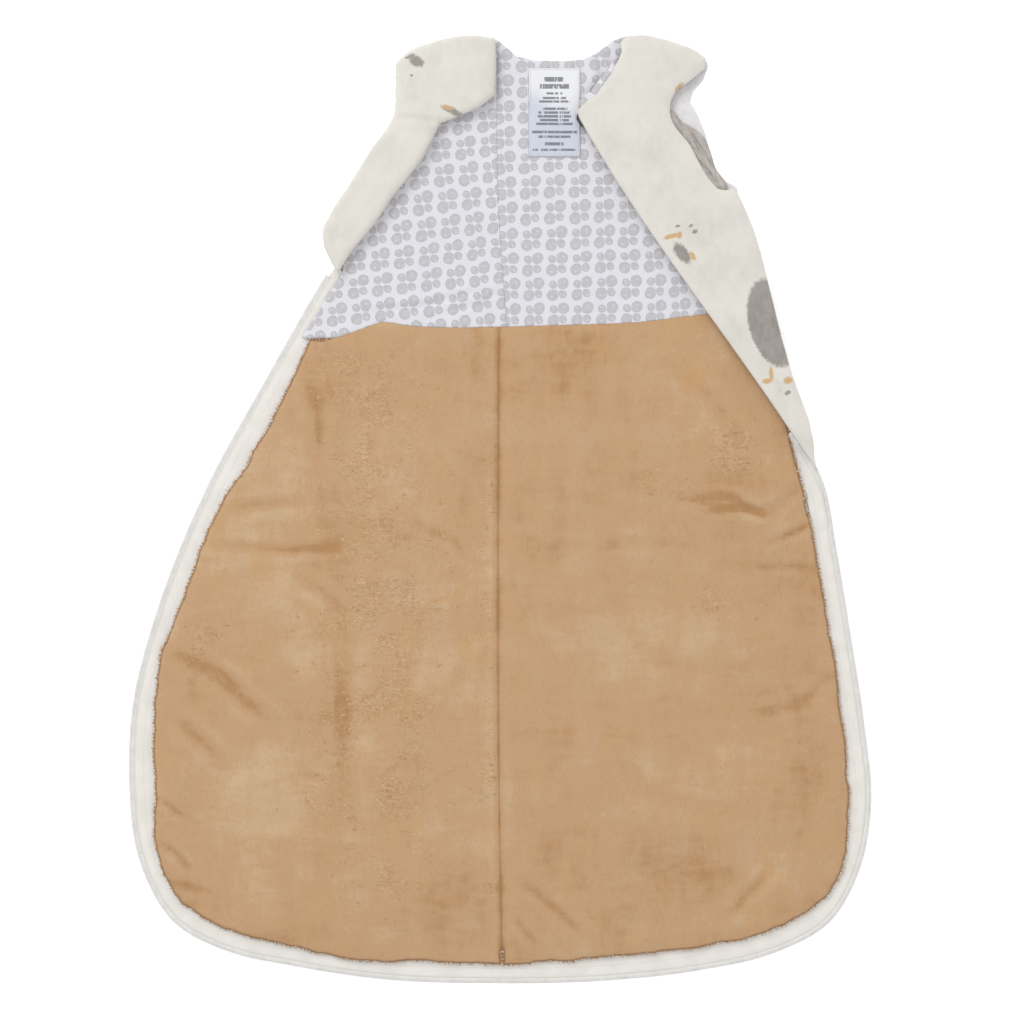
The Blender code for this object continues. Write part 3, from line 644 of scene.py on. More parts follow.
def tube_of_rings(name, rings, material):
    """A closed skin over equal rings of points, with its normals outwards."""
    count, sides = rings.shape[:2]
    points = rings.reshape(-1, 3)
    k = np.arange(count - 1)[:, None] * sides
    j = np.arange(sides)[None]
    after = (j + 1) % sides
    quads = np.stack([k + j, k + after, k + sides + after, k + sides + j], axis=-1).reshape(-1, 4)
    last = (count - 1) * sides
    ends = [list(range(sides))[::-1], list(range(last, last + sides))]
    obj = object_of(name, points, [*quads.tolist(), *ends], material)
    corners = [quads[:, [0, i, i + 1]] for i in (1, 2)]
    corners += [[[end[0], end[i], end[i + 1]] for i in range(1, sides - 1)] for end in ends]
    a, b, c = points[np.concatenate(corners)].transpose(1, 0, 2)
    if (a * np.cross(b, c)).sum() < 0:
        obj.data.flip_normals()
    return obj


def tube_mesh(name, path, radius, material, sides=6):
    """A round thread along a 3D path, closed at both ends."""
    along = unit(np.gradient(path, axis=0))
    side = np.cross(along, (0.0, 0.0, 1.0))
    side[np.linalg.norm(side, axis=1) < 1e-6] = (1.0, 0.0, 0.0)
    side = unit(side)[:, None]
    other = np.cross(side, along[:, None])
    turn = ring_turn(sides)[None, :, None]
    rings = path[:, None] + radius * (np.cos(turn) * side + np.sin(turn) * other)
    return tube_of_rings(name, rings, material)


def coil_mesh(name, path, radius, spread, material, pitch=1.6 * MM, wire=0.36 * MM, steps=8):
    """A zip's wound coil: a flattened helix of wire round its flat filler."""
    path = spline(path, pitch / steps)
    along = unit(np.gradient(path, axis=0))
    side = unit(np.cross(along, (0.0, 0.0, 1.0)))
    turn = (2 * math.pi * travelled(path) / pitch)[:, None]
    wound = path + (radius - wire) * (np.cos(turn) * side + 0.45 * np.sin(turn) * np.cross(side, along))
    coil = tube_mesh(f"{name}_wire", wound, wire, material, sides=4)
    around = ring_turn(8)[None, :, None]
    outward = side * np.sign(((path - path.mean(axis=0)) * side).sum())
    out = (spread[1] + spread[0]) / 2 + (spread[1] - spread[0]) / 2 * np.cos(around)
    rise = (0.22 * np.sin(around) - 0.12) * MM * np.array([0, 0, 1])
    core = path[::steps, None] + out * outward[::steps, None] + rise
    filler = tube_of_rings(f"{name}_filler", core, material)
    points = [v.co for part in (coil, filler) for v in part.data.vertices]
    first = len(coil.data.vertices)
    faces = [list(face.vertices) for face in coil.data.polygons]
    faces += [[first + i for i in face.vertices] for face in filler.data.polygons]
    joined = object_of(name, points, faces, material)
    for part in (coil, filler):
        bpy.data.objects.remove(part)
    return joined


# ---------------------------------------------------------------- materials


class Surface:
    """A Principled material under construction. Its methods add nodes and return their sockets."""

    def __init__(self, name, roughness=0.9, **settings):
        self.material = bpy.data.materials.new(name)
        self.material.use_nodes = True
        self.tree = self.material.node_tree
        self.shader = self.tree.nodes["Principled BSDF"]
        self.shader.inputs["Roughness"].default_value = roughness
        for key, value in settings.items():
            self.shader.inputs[key.replace("_", " ").title().replace("Ior", "IOR")].default_value = value
        self.place = self.tree.nodes.new("ShaderNodeTexCoord").outputs["Object"]

    def put(self, socket, value):
        """Links another node's socket to a socket, or sets its value."""
        if isinstance(value, bpy.types.NodeSocket):
            self.tree.links.new(value, socket)
        elif isinstance(value, (tuple, list)) and socket.type == "RGBA":
            socket.default_value = (*value[:3], 1.0)
        else:
            socket.default_value = value

    def node(self, kind, inputs=(), **settings):
        """A new node with its settings and inputs."""
        made = self.tree.nodes.new(kind)
        for key, value in settings.items():
            setattr(made, key, value)
        for key, value in dict(inputs).items():
            self.put(made.inputs[key], value)
        return made

    def math(self, operation, a, b=0.0, c=0.0):
        """One of the Math node's operations."""
        return self.node("ShaderNodeMath", {0: a, 1: b, 2: c}, operation=operation).outputs[0]

    def times(self, a, b):
        return self.math("MULTIPLY", a, b)

    def plus(self, a, b):
        return self.math("ADD", a, b)

    def minus(self, a, b):
        return self.math("SUBTRACT", a, b)

    def times_plus(self, a, b, c):
        return self.math("MULTIPLY_ADD", a, b, c)

    def mix(self, share, a, b):
        """A colour that goes from the first to the second as the share goes from 0 to 1."""
        return self.node("ShaderNodeMix", {0: share, 6: a, 7: b}, data_type="RGBA").outputs[2]

    def span(self, value, low, high, to_low=0.0, to_high=1.0):
        """A value from low to high, turned smoothly into one from to_low to to_high."""
        inputs = {0: value, 1: low, 2: high, 3: to_low, 4: to_high}
        made = self.node("ShaderNodeMapRange", inputs, interpolation_type="SMOOTHSTEP", clamp=True)
        return made.outputs[0]

    def turned(self, degrees=0.0, stretch=(1, 1, 1), shift=(0, 0, 0)):
        """Places for a texture that is stretched, turned and shifted."""
        inputs = {"Vector": self.place, "Rotation": (0, 0, math.radians(degrees)), "Scale": stretch,
                  "Location": shift}
        return self.node("ShaderNodeMapping", inputs).outputs[0]

    def brushed(self, degrees, longer):
        """Places for a texture that is drawn out along a direction, that many times longer than wide."""
        inputs = {"Vector": self.place, "Rotation": (0, 0, math.radians(degrees)), "Scale": (longer, 1, 1)}
        return self.node("ShaderNodeMapping", inputs, vector_type="TEXTURE").outputs[0]

    def grain(self, size, detail=2.0, roughness=0.5, place=None, distortion=0.0):
        """Noise whose lumps are about a size in millimetres, 0 to 1."""
        inputs = {"Vector": place or self.place, "Scale": 1 / (size * MM), "Detail": detail,
                  "Roughness": roughness, "Distortion": distortion}
        return self.node("ShaderNodeTexNoise", inputs).outputs[0]

    def mottled(self, size, detail, first, second):
        """Two colours in soft patches of about a size in millimetres."""
        return self.mix(self.span(self.grain(size, detail), 0.3, 0.7), first, second)

    def wave(self, scale, place=None, distortion=0.0, direction="X"):
        """Fine ribs across a direction, 0 to 1."""
        inputs = {"Vector": place or self.place, "Scale": scale, "Distortion": distortion}
        return self.node("ShaderNodeTexWave", inputs, bands_direction=direction).outputs[1]

    def band(self, value, rise, fall):
        """1 from the end of a rise to the start of a fall, 0 outside both."""
        return self.plus(self.span(value, *rise, 0, 1), self.span(value, *fall, 0, -1))

    def attribute(self, name):
        """A number that the mesh keeps for each of its points."""
        return self.node("ShaderNodeAttribute", attribute_name=name, attribute_type="GEOMETRY").outputs["Fac"]

    def bump(self, height, distance, strength=1.0, normal=None):
        """The normal of a surface with a height, whose 1 stands for a distance in millimetres."""
        inputs = {"Height": height, "Distance": distance * MM, "Strength": strength}
        if normal is not None:
            inputs["Normal"] = normal
        return self.node("ShaderNodeBump", inputs).outputs[0]

    def finish(self, colour, normal=None, roughness=None):
        """Links what was made to the shader and returns the material."""
        self.put(self.shader.inputs["Base Color"], colour)
        if normal is not None:
            self.put(self.shader.inputs["Normal"], normal)
        if roughness is not None:
            self.put(self.shader.inputs["Roughness"], roughness)
        return self.material

    def spots(self, ovals, ragged):
        """A mask of soft-edged ovals: middle, radii in millimetres, and turn in degrees."""
        mask = None
        for (x, y), (rx, ry), turn in ovals:
            inputs = {"Vector": self.place, "Location": (x * MM, y * MM, 0),
                      "Rotation": (0, 0, math.radians(turn)), "Scale": (rx * MM, ry * MM, 1000.0)}
            oval = self.node("ShaderNodeMapping", inputs, vector_type="TEXTURE").outputs[0]
            far = self.node("ShaderNodeVectorMath", {0: oval}, operation="LENGTH").outputs["Value"]
            soft = min(0.5, 1.5 / min(rx, ry))
            far = self.times_plus(ragged, 2.4 * soft, far)
            one = self.span(far, 1 + 1.8 * soft, 1 + 0.45 * soft)
            mask = one if mask is None else self.math("MAXIMUM", mask, one)
        return mask


def plush_cream():
    """The bag's cream plush, with its soft printed spots."""
    s = Surface("plush_cream", 0.95, sheen_weight=0.25, sheen_roughness=0.6, specular_ior_level=0.2)
    lay = s.grain(26, 3)
    tufts = s.grain(5.5, 4, 0.6, s.turned(12, (1, 0.55, 1)))
    fibre = s.grain(1.1, 3, 0.65, s.turned(-8, (1, 0.4, 1)))
    colour = s.mix(s.span(lay, 0.35, 0.7), CREAM, CREAM_SHADE)
    colour = s.mix(s.span(tufts, 0.3, 0.75, 0.0, 0.45), colour, CREAM_TUFT)
    colour = s.mix(s.span(fibre, 0.2, 0.45, 0.30, 0.0), colour, CREAM_ROOT)
    ragged = s.grain(1.6, 3, 0.7)
    grey = s.mix(s.span(tufts, 0.3, 0.7), PRINTED_GREY, PRINTED_GREY_WORN)
    colour = s.mix(s.spots(GREY_SPOTS, ragged), colour, grey)
    colour = s.mix(s.spots(OCHRE_SPOTS, ragged), colour, PRINTED_OCHRE)
    height = s.times_plus(fibre, 0.45, s.times(tufts, 0.8))
    return s.finish(colour, s.bump(height, 0.9, 0.55))


def plush_grey():
    """The grey side of the plush, brushed along the armhole."""
    s = Surface("plush_grey", 0.95, sheen_weight=0.2, sheen_roughness=0.6, specular_ior_level=0.2)
    tufts = s.grain(5, 4, 0.6)
    streaks = s.grain(2.6, 4, 0.65, s.brushed(-60, 5), 0.5)
    fibre = s.grain(1.0, 3, 0.65, s.brushed(-60, 3))
    colour = s.mix(s.span(tufts, 0.3, 0.7), GREY, GREY_PALE)
    colour = s.mix(s.span(streaks, 0.52, 0.36, 0.0, 0.7), colour, GREY_DEEP)
    colour = s.mix(s.span(streaks, 0.54, 0.70, 0.0, 0.6), colour, GREY_TIP)
    height = s.times_plus(fibre, 0.5, s.times(streaks, 1.2))
    return s.finish(colour, s.bump(height, 0.9, 0.6))


def plush_tan():
    """The skirt's pile. Its attributes say how it lies, with painted shade and highlight at creases and seams
    and a painted pool of light, how far it stands up, and how near its free edge is, where painted shade
    darkens it.
    """
    s = Surface("plush_tan", 0.92, sheen_weight=0.2, sheen_roughness=0.5, specular_ior_level=0.12)
    s.shader.inputs["Sheen Tint"].default_value = TAN_SHEEN
    nap, fluff, edge = s.attribute("nap"), s.attribute("fluff"), s.attribute("edge")
    streak = s.grain(6.5, 4, 0.62, s.turned(3, (1, 0.35, 1)), 0.8)
    cross = s.grain(5.5, 4, 0.62, s.turned(-4, (0.3, 1, 1)), 0.6)
    fibre = s.grain(1.0, 4, 0.7, s.turned(20, (1, 0.35, 1)))
    curls = s.grain(1.9, 3, 0.75, s.turned(0, (0.4, 1, 1)), 1.2)
    warmth = s.grain(46, 3, 0.55, s.turned(25, (1, 0.6, 1)), 0.8)
    # The pile's tone, which also carries painted shade and highlight from creases and seams and a painted
    # pool of light.
    brushed = s.plus(s.times(nap, 0.34), s.times_plus(streak, 0.62, -0.31))
    brushed = s.plus(brushed, s.times_plus(cross, 0.62, -0.31))
    colour = s.mix(s.span(brushed, 0.0, 0.62), TAN, TAN_DEEP)
    pale = s.mix(s.span(warmth, 0.38, 0.62), TAN_PALE, TAN_DULL)
    colour = s.mix(s.span(brushed, 0.0, -0.60), colour, pale)
    colour = s.mix(s.span(nap, -1.7, -3.0, 0.0, 0.9), colour, TAN_TIP)
    tint = s.grain(34, 4, 0.6, s.turned(-20, (1, 0.7, 1)), 1.4)
    colour = s.mix(s.span(tint, 0.50, 0.68, 0.0, 0.42), colour, TAN_ROSY)
    colour = s.mix(s.span(tint, 0.46, 0.30, 0.0, 0.50), colour, TAN_GOLDEN)
    colour = s.mix(s.span(fibre, 0.30, 0.52, 0.28, 0.0), colour, TAN_FIBRE)
    # In the fluffy patches the curls' paler tips are their own colour with painted highlight, and their
    # darker roots are painted shade, standing in for the clumps' relief.
    tips = s.times(s.span(curls, 0.54, 0.68), s.span(fluff, 0.15, 0.9))
    colour = s.mix(s.times(tips, 0.50), colour, TAN_TIP)
    roots = s.times(s.span(curls, 0.47, 0.36), s.span(fluff, 0.1, 0.9))
    colour = s.mix(s.times(roots, 0.42), colour, TAN_CURL_SHADE)
    # Painted shade: the pile turns dark brown towards its free edge on the tape, with a ragged border.
    ragged = s.times_plus(s.grain(2.2, 3, 0.7), 0.7, s.minus(edge, 0.35))
    colour = s.mix(s.span(ragged, 0.35, 0.85, 0.0, 0.85), colour, TAN_EDGE_SHADE)
    height = s.times_plus(fibre, 0.35, s.times(streak, 0.5))
    height = s.plus(height, s.times(curls, s.times(fluff, 0.5)))
    return s.finish(colour, s.bump(height, 1.0, 0.6))


def printed_cotton(name, degrees, shift):
    """Pale cotton with an even repeat of flowers: two large petals on one diagonal and two small."""
    s = Surface(name, 0.85, sheen_weight=0.08, specular_ior_level=0.25)
    pitch, out, unlike_out = (16.7, 17.5), (3.3, 3.75), (0.2, 0.42)
    long_petal, wide_petal, tilt = 4.15, 3.9, math.radians(50)
    wavy = s.node("ShaderNodeTexNoise", {"Vector": s.place, "Scale": 26.0, "Detail": 2.0}).outputs[1]
    bent = s.node("ShaderNodeVectorMath", {0: wavy, 1: (0.003, 0.003, 0)}, operation="MULTIPLY").outputs[0]
    turned_place = s.turned(degrees, (1, 1, 1), shift)
    place = s.node("ShaderNodeVectorMath", {0: turned_place, 1: bent}, operation="ADD").outputs[0]
    axes = s.node("ShaderNodeSeparateXYZ", {0: place}).outputs
    centred = []
    for axis in range(2):
        cell = s.math("FRACT", s.times(axes[axis], 1 / (pitch[axis] * MM)))
        centred.append(s.minus(cell, 0.5))
    large = s.times(s.math("SIGN", centred[0]), s.math("SIGN", centred[1]))
    off = []
    for axis in range(2):
        folded = s.times(s.math("ABSOLUTE", centred[axis]), pitch[axis])
        off.append(s.minus(folded, s.times_plus(large, unlike_out[axis], out[axis])))
    c, n = math.cos(tilt), math.sin(tilt)
    along = s.plus(s.times(off[0], c), s.times(off[1], n))
    across = s.minus(s.times(off[1], c), s.times(off[0], n))
    along, across = s.times(along, 1 / long_petal), s.times(across, 1 / wide_petal)
    far = s.math("SQRT", s.plus(s.times(along, along), s.times(across, across)))
    far = s.math("DIVIDE", far, s.times_plus(large, 0.15, 0.85))
    far = s.plus(far, s.times_plus(s.grain(2.6, 3, 0.6), 0.40, -0.20))
    inked = s.span(far, 1.08, 0.92)
    rim = s.times(inked, s.span(far, 0.68, 0.88))
    off_eye = s.plus(s.math("ABSOLUTE", s.minus(along, 0.30)), s.math("ABSOLUTE", s.minus(across, 0.05)))
    eye = s.span(off_eye, 0.26, 0.12)
    worn = s.grain(3.2, 3, 0.6)
    colour = s.mottled(30, 2, COTTON, COTTON_SHADE)
    ink = s.mix(s.span(worn, 0.3, 0.8), COTTON_PRINT, COTTON_PRINT_WORN)
    colour = s.mix(inked, colour, ink)
    colour = s.mix(s.times(rim, 0.35), colour, COTTON_PRINT_EDGE)
    colour = s.mix(s.times(eye, 0.6), colour, COTTON)
    warp = s.wave(420.0, turned_place, 0.6)
    weft = s.wave(420.0, turned_place, 0.6, "Y")
    normal = s.bump(s.times(warp, weft), 0.12, 0.5)
    return s.finish(colour, s.bump(s.grain(7, 3), 0.8, 0.25, normal))


def jersey():
    """The armhole facing's fine knit."""
    s = Surface("facing_jersey", 0.9, sheen_weight=0.2, specular_ior_level=0.2)
    knit = s.wave(300.0, s.turned(35), 2.0)
    colour = s.mottled(9, 3, JERSEY, JERSEY_SHADE)
    return s.finish(colour, s.bump(s.plus(knit, s.grain(4, 3)), 0.3, 0.4))


def woven_tape():
    """Herringbone tape. Attributes across and along are distances from and along its coil, in millimetres."""
    s = Surface("zip_tape", 0.82, sheen_weight=0.1, specular_ior_level=0.25)
    across, along = s.attribute("across"), s.attribute("along")
    rib = s.math("SINE", s.times(across, 2 * math.pi / 0.9))
    zigzag = s.plus(along, s.math("PINGPONG", across, 2.0))
    ply = s.math("SINE", s.times(zigzag, 2 * math.pi / 0.8))
    cord = s.band(across, (2.0, 2.3), (3.1, 3.5))
    line = s.band(across, (8.6, 8.9), (9.2, 9.5))
    colour = s.mottled(14, 3, TAPE, TAPE_WARM)
    colour = s.mix(s.times(s.span(rib, -1.0, 0.2, 1.0, 0.0), 0.10), colour, TAPE_SHADE)
    colour = s.mix(s.times(line, 0.14), colour, TAPE_SHADE)
    colour = s.mix(s.times(cord, 0.24), colour, TAPE_SHADE)
    height = s.plus(s.times(rib, 0.3), s.times(ply, 0.25))
    height = s.plus(height, s.times(cord, 1.2))
    height = s.minus(height, s.times(line, 0.8))
    return s.finish(colour, s.bump(height, 0.2, 0.7))


def nylon():
    """The zip's pale nylon wire."""
    s = Surface("zip_nylon", 0.38, specular_ior_level=0.5)
    colour = s.mottled(5, 2, NYLON, NYLON_SHADE)
    return s.finish(colour, s.bump(s.grain(0.6, 2), 0.05, 0.3))


def thread():
    """The pale twisted sewing thread."""
    s = Surface("thread", 0.7, sheen_weight=0.2)
    ply = s.wave(900.0, s.turned(40))
    colour = s.mottled(2, 2, THREAD, THREAD_SHADE)
    return s.finish(colour, s.bump(ply, 0.08, 0.6))


def label_satin(low, high):
    """Satin with plain bars where a care label has its lines of print."""
    s = Surface("label_satin", 0.42, sheen_weight=0.1, anisotropic=0.3, specular_ior_level=0.5)
    size = (high - low) / MM
    axes = s.node("ShaderNodeSeparateXYZ", {0: s.turned(0, (1, 1, 1), (-low[0], -low[1], 0))}).outputs
    x = s.times(axes[0], 1 / MM)
    y = s.times(axes[1], 1 / MM)
    off = s.math("ABSOLUTE", s.minus(x, size[0] / 2))
    print_mask = None
    for middle, tall, wide in LABEL_BARS:
        in_row = s.span(s.math("ABSOLUTE", s.minus(y, middle)), tall / 2 + 0.12, tall / 2 - 0.12)
        bar = s.times(in_row, s.span(off, wide / 2 + 0.15, wide / 2 - 0.15))
        print_mask = bar if print_mask is None else s.math("MAXIMUM", print_mask, bar)
    gaps = s.grain(1.25, 2, 0.6, s.turned(0, (1, 0.12, 1)))
    broken = s.span(gaps, 0.36, 0.42)
    # Painted sheen: the satin grows paler towards the label's upper right.
    sheen = s.span(s.plus(y, s.times(x, 0.5)), 26, 62)
    sheen = s.plus(sheen, s.times_plus(s.grain(16, 2), 0.5, -0.25))
    colour = s.mix(s.span(sheen, 0.1, 0.9), LABEL, LABEL_PALE)
    colour = s.mix(s.times(s.times(print_mask, broken), 0.88), colour, LABEL_INK)
    rib = s.wave(380.0, direction="Y")
    return s.finish(colour, s.bump(rib, 0.08, 0.4))


def gunmetal():
    """The slider's dark cast metal."""
    s = Surface("slider_metal", 0.32, metallic=0.9, specular_ior_level=0.5)
    colour = s.mix(s.span(s.grain(1.5, 3), 0.45, 0.7), METAL, METAL_WORN)
    return s.finish(colour, s.bump(s.grain(0.25, 3), 0.03, 0.4), s.span(s.grain(1.2, 3), 0.3, 0.8, 0.26, 0.5))


def resin():
    """The zip's moulded end pieces."""
    s = Surface("zip_resin", 0.35, specular_ior_level=0.5)
    colour = s.mottled(2, 2, RESIN, RESIN_SHADE)
    return s.finish(colour, s.bump(s.grain(0.5, 2), 0.05, 0.3))


def floor_paint():
    """A white light table, whose own faint glow keeps shadows off it."""
    s = Surface("floor", 0.85, emission_strength=FLOOR_GLOW)
    s.shader.inputs["Emission Color"].default_value = WHITE
    return s.finish(s.mottled(300, 2, FLOOR, FLOOR_SHADE))


CREAM_PLUSH = plush_cream()
GREY_PLUSH = plush_grey()
TAN_PLUSH = plush_tan()
COTTON_LEFT = printed_cotton("printed_cotton_left", -6, (0.004, 0.002, 0))
COTTON_RIGHT = printed_cotton("printed_cotton_right", -1.8, (-0.0042, -0.0037, 0))
JERSEY_KNIT = jersey()
TAPE_WEAVE = woven_tape()
NYLON_COIL = nylon()
THREADS = thread()
GUNMETAL = gunmetal()
RESIN_MOULD = resin()


# ---------------------------------------------------------------- the pieces


def worn_by(obj, body, slot, *nodes):
    """Puts a piece on a body and hides the CAD nodes that it stands for. Its slot is not used."""
    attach(obj, body)
    if nodes:
        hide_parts(*nodes)


BACK_LOOP = outline_of("back_shell")
FLAP_LOOP = outline_of("front_flap_shell")
LEFT_LOOP = outline_of("front_left_shell")
BACK_COIL = centreline("back_zip_coil")
FLAP_COIL = centreline("flap_zip_coil")
LAPEL_COIL = centreline("lapel_zip_coil")


def lapel_toe():
    """The plush from the zip guard's lower corner to the point where the back's coil starts to climb."""
    guard, shell = outline_of("lapel_zip_guard"), outline_of("front_right_shell")
    corner, tip = guard[guard[:, 1].argmin()], shell[shell[:, 1].argmin()]
    climbing = BACK_COIL[BACK_COIL[:, 2] > BACK_COIL[:, 2].min() + 1 * MM]
    foot = climbing[climbing[:, 1].argmin()][:2]
    inner = (corner + tip) / 2 + (5 * MM, 4 * MM)
    return np.array([corner, foot, tip, inner])


RIGHT_LOOP = merged([
    outline_of("front_right_shell"), outline_of("lapel_shell"), outline_of("lapel_zip_guard"), lapel_toe(),
])
LINING_NODES = [
    "lining_skirt_left", "lining_skirt_right", "lining_yoke_left", "lining_yoke_right",
    "right_armhole_facing",
]
SURFACES = {}


def shared_edge(first, second):
    """The stretch of one CAD outline that runs within a millimetre of another."""
    a, b = refined(outline_of(first), 3 * MM), outline_of(second)
    close = nearest(a, b)[0] < 1.0 * MM
    order = (run_start(close) + np.arange(len(a))) % len(a)
    return a[order][: close[order].argmin()]


CENTRE_SEAM = shared_edge("lining_skirt_left", "lining_skirt_right")


def make_back_plush():
    """The back's plush and wadding in one padded piece. Where no flap lies under it, it sinks."""
    plan = Plan(BACK_LOOP, 4.2 * MM, (0.2, 0.55, 1.1), 3)
    low, high = heights_of("back_shell")
    wadding_top = top_of("back_wadding")
    held_up = ease(depth_in(plan.points, FLAP_LOOP), -14 * MM, -2 * MM)
    bottom_full = 1.2 * MM + (low - 1.2 * MM) * held_up
    near_tape = far_from(plan.points, BACK_COIL)
    top_full = high + (wadding_top - 0.3 * MM - high) * ease(near_tape, 20 * MM, 28 * MM)
    middle = (top_full + bottom_full) / 2
    shape = rounded(plan.depth, 6 * MM)
    lumps = 0.25 * MM * noise(plan.points, 9, 5) * ease(plan.depth, 2 * MM, 8 * MM)
    bottom = middle - (middle - bottom_full) * shape + np.abs(lumps)
    obj = sheet_mesh("back_plush", plan, middle + (top_full - middle) * shape, bottom, CREAM_PLUSH)
    worn_by(obj, "bag_back", "plush_cream", "back_shell", "back_wadding")


def nap_of(plan):
    """How dark the skirt's pile lies, from pale at -1 to deep at 1, with painted shade and highlight at its
    creases and a painted pool of light on its right side, and how far it stands up in locks.
    """
    bent = plan + 9 * MM * np.column_stack([noise(plan, 40, 66), noise(plan, 40, 67)])
    nap = 0.55 * noise(bent, (70, 52), 61, 12) + 0.45 * noise(bent, (30, 20), 62, -8)
    nap += 0.30 * noise(bent, (9, 26), 64, 4) + 0.34 * noise(bent, (22, 7), 65, 6)
    # Painted shade and highlight: crease valleys darken the pile and their ridges lighten it.
    nap += patched(plan, PILE_TONE_AND_LIGHT_PATCHES) - 1.25 * creased(plan, SKIRT_CREASES) / MM
    fluff = np.clip(patched(plan, [(*patch, 0, 1.0) for patch in FLUFF_PATCHES]), 0, 1)
    fluff = np.clip(fluff * (0.55 + 0.9 * noise(plan, 13, 63)), 0, 1)
    return nap, fluff


def covered(plan):
    """0 where the front lies over the back's lining, 1 well away from it."""
    under = np.maximum(depth_in(plan, RIGHT_LOOP), depth_in(plan, LEFT_LOOP))
    return ease(under, 0 * MM, -26 * MM)


def skirt_relief(plan, free):
    """The skirt lining's rise and fall, calmer where the front lies on it."""
    z = 1.1 * noise(plan, (70, 46), 11, 20) + 0.55 * noise(plan, (26, 40), 12, -15)
    z += 0.30 * noise(plan, (16, 11), 13, 8) + 0.14 * noise(plan, 6, 14) + 0.08 * noise(plan, 3.2, 15)
    return z * MM * (0.25 + 0.75 * free) + creased(plan, SKIRT_CREASES)


def lining_loop(name):
    """A lining piece's outline, drawn out to meet its neighbours and the back's own edge."""
    loop = refined(outline_of(name), 3 * MM)
    for other in LINING_NODES:
        if other != name:
            loop = drawn_to(loop, outline_of(other), 2.4 * MM, 0.5)
    near_tape = far_from(loop, BACK_COIL) < ON_TAPE
    out = unit(loop - loop.mean(0))
    if "skirt" not in name:
        drawn = drawn_to(loop, moved(BACK_LOOP, -0.7 * MM), 4.5 * MM, 1.0)
        margin = 3.0 * MM * ease(loop[:, 1] - loop[:, 1].min(), 5 * MM, 18 * MM)
        return np.where(near_tape[:, None], loop - out * margin[:, None], drawn)
    wander = 0.9 * noise(loop, 15, 33) + 0.7 * noise(loop, 5, 34)
    return loop + out * (wander * near_tape * MM)[:, None]


def make_lining(name, material, slot, relief, puff, pitch, rings=(0.25, 0.8, 1.5), rim=3.5, edge=0.9):
    """One piece of the back's lining. It sinks onto the tape at its free edge and dips at its seams."""
    plan = Plan(lining_loop(name), pitch, rings, len(name))
    low, high = heights_of(name)
    tape_top = top_of("back_zip_tape")
    far_tape = far_from(plan.points, BACK_COIL)
    on_tape = ease(far_tape, 26 * MM, 16 * MM)
    free = covered(plan.points)
    sewn = 0.42 if "skirt" in name else 0.55
    drawn = sewn + (1 - sewn) * ease(far_tape, 30 * MM, 22 * MM)
    shape = 1 - (1 - rounded(plan.depth, rim * MM)) * drawn
    edge_low = low + (tape_top + 0.25 * MM - low) * on_tape
    bottom = edge_low + (low - edge_low) * rounded(plan.depth, 14 * MM)
    height = high + puff * MM * rounded(plan.depth, 22 * MM) * free
    height = height + relief(plan.points, free) * ease(plan.depth, 0 * MM, 9 * MM)
    edge_high = bottom + edge * MM
    top = np.maximum(edge_high + (height - edge_high) * shape, bottom + 0.5 * MM)
    values = {}
    if slot == "plush_tan":
        nap, fluff = nap_of(plan.points)
        seam_far = nearest(plan.points, CENTRE_SEAM, closed=False)[0]
        side = 1 if name.endswith("left") else 0.3
        valley = np.exp(-((seam_far / (2.4 * MM)) ** 2))
        shoulder = np.exp(-(((seam_far - 6 * MM) / (3 * MM)) ** 2))
        # Painted shade in the centre seam's valley and painted highlight on the shoulder beside it, stronger
        # on the left half.
        nap += 1.2 * valley - 0.9 * side * shoulder
        # Painted shade along the free edge where the skirt lies on the tape.
        edge_shade = ease(far_tape, 30 * MM, 20 * MM) * ease(plan.depth, 4 * MM, 0)
        values = {"nap": nap, "fluff": fluff, "edge": edge_shade}
    obj = sheet_mesh(name + "_cloth", plan, top, bottom, material, walled=True, **values)
    worn_by(obj, "bag_back", slot, name)
    plan.size()
    plan.area()
    SURFACES[name] = (plan, top, values)


def yoke_relief(plan, free):
    """The chest lining's rise and fall, flat under the care label."""
    z = 0.45 * noise(plan, (46, 60), 21, 10) + 0.22 * noise(plan, (20, 30), 22, -20)
    z += 0.08 * noise(plan, 9, 23)
    label_low, label_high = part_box("care_label")
    label_low, label_high = np.array(label_low[:2]), np.array(label_high[:2])
    middle, half = (label_low + label_high) / 2, (label_high - label_low) / 2
    outside = np.linalg.norm(np.maximum(np.abs(plan - middle) - half, 0), axis=1)
    return (z * MM * (0.3 + 0.7 * free) + creased(plan, YOKE_CREASES)) * ease(outside, 1 * MM, 12 * MM)


def make_back_lining():
    """The skirt's two halves, the chest's two halves and the armhole's facing."""
    for side in ("left", "right"):
        make_lining(f"lining_skirt_{side}", TAN_PLUSH, "plush_tan", skirt_relief, 1.0, PLUSH_PITCH)
    for side, cotton in (("left", COTTON_LEFT), ("right", COTTON_RIGHT)):
        name = f"lining_yoke_{side}"
        make_lining(name, cotton, "printed_cotton", yoke_relief, 0.0, FINE_PITCH, rim=1.4, edge=1.0)
    make_lining("right_armhole_facing", JERSEY_KNIT, "facing_jersey", yoke_relief, 0.5, FINE_PITCH, rim=3.0)


def seam_allowance(name, seam, low, high, material, slot):
    """A narrow flat ribbon under a seam, between two heights."""
    path = spline(seam, 4 * MM)
    side = inward_of(path)
    loop = np.concatenate([path - side * ALLOWANCE / 2, (path + side * ALLOWANCE / 2)[::-1]])
    plan = Plan(loop, ALLOWANCE / 4, (0.3,), 2)
    # Painted shade: a deep pile tone, so that the gap above the allowance reads dark.
    obj = sheet_mesh(name, plan, high, low, material, nap=1.2, fluff=0.0, edge=0.0)
    worn_by(obj, "bag_back", slot)


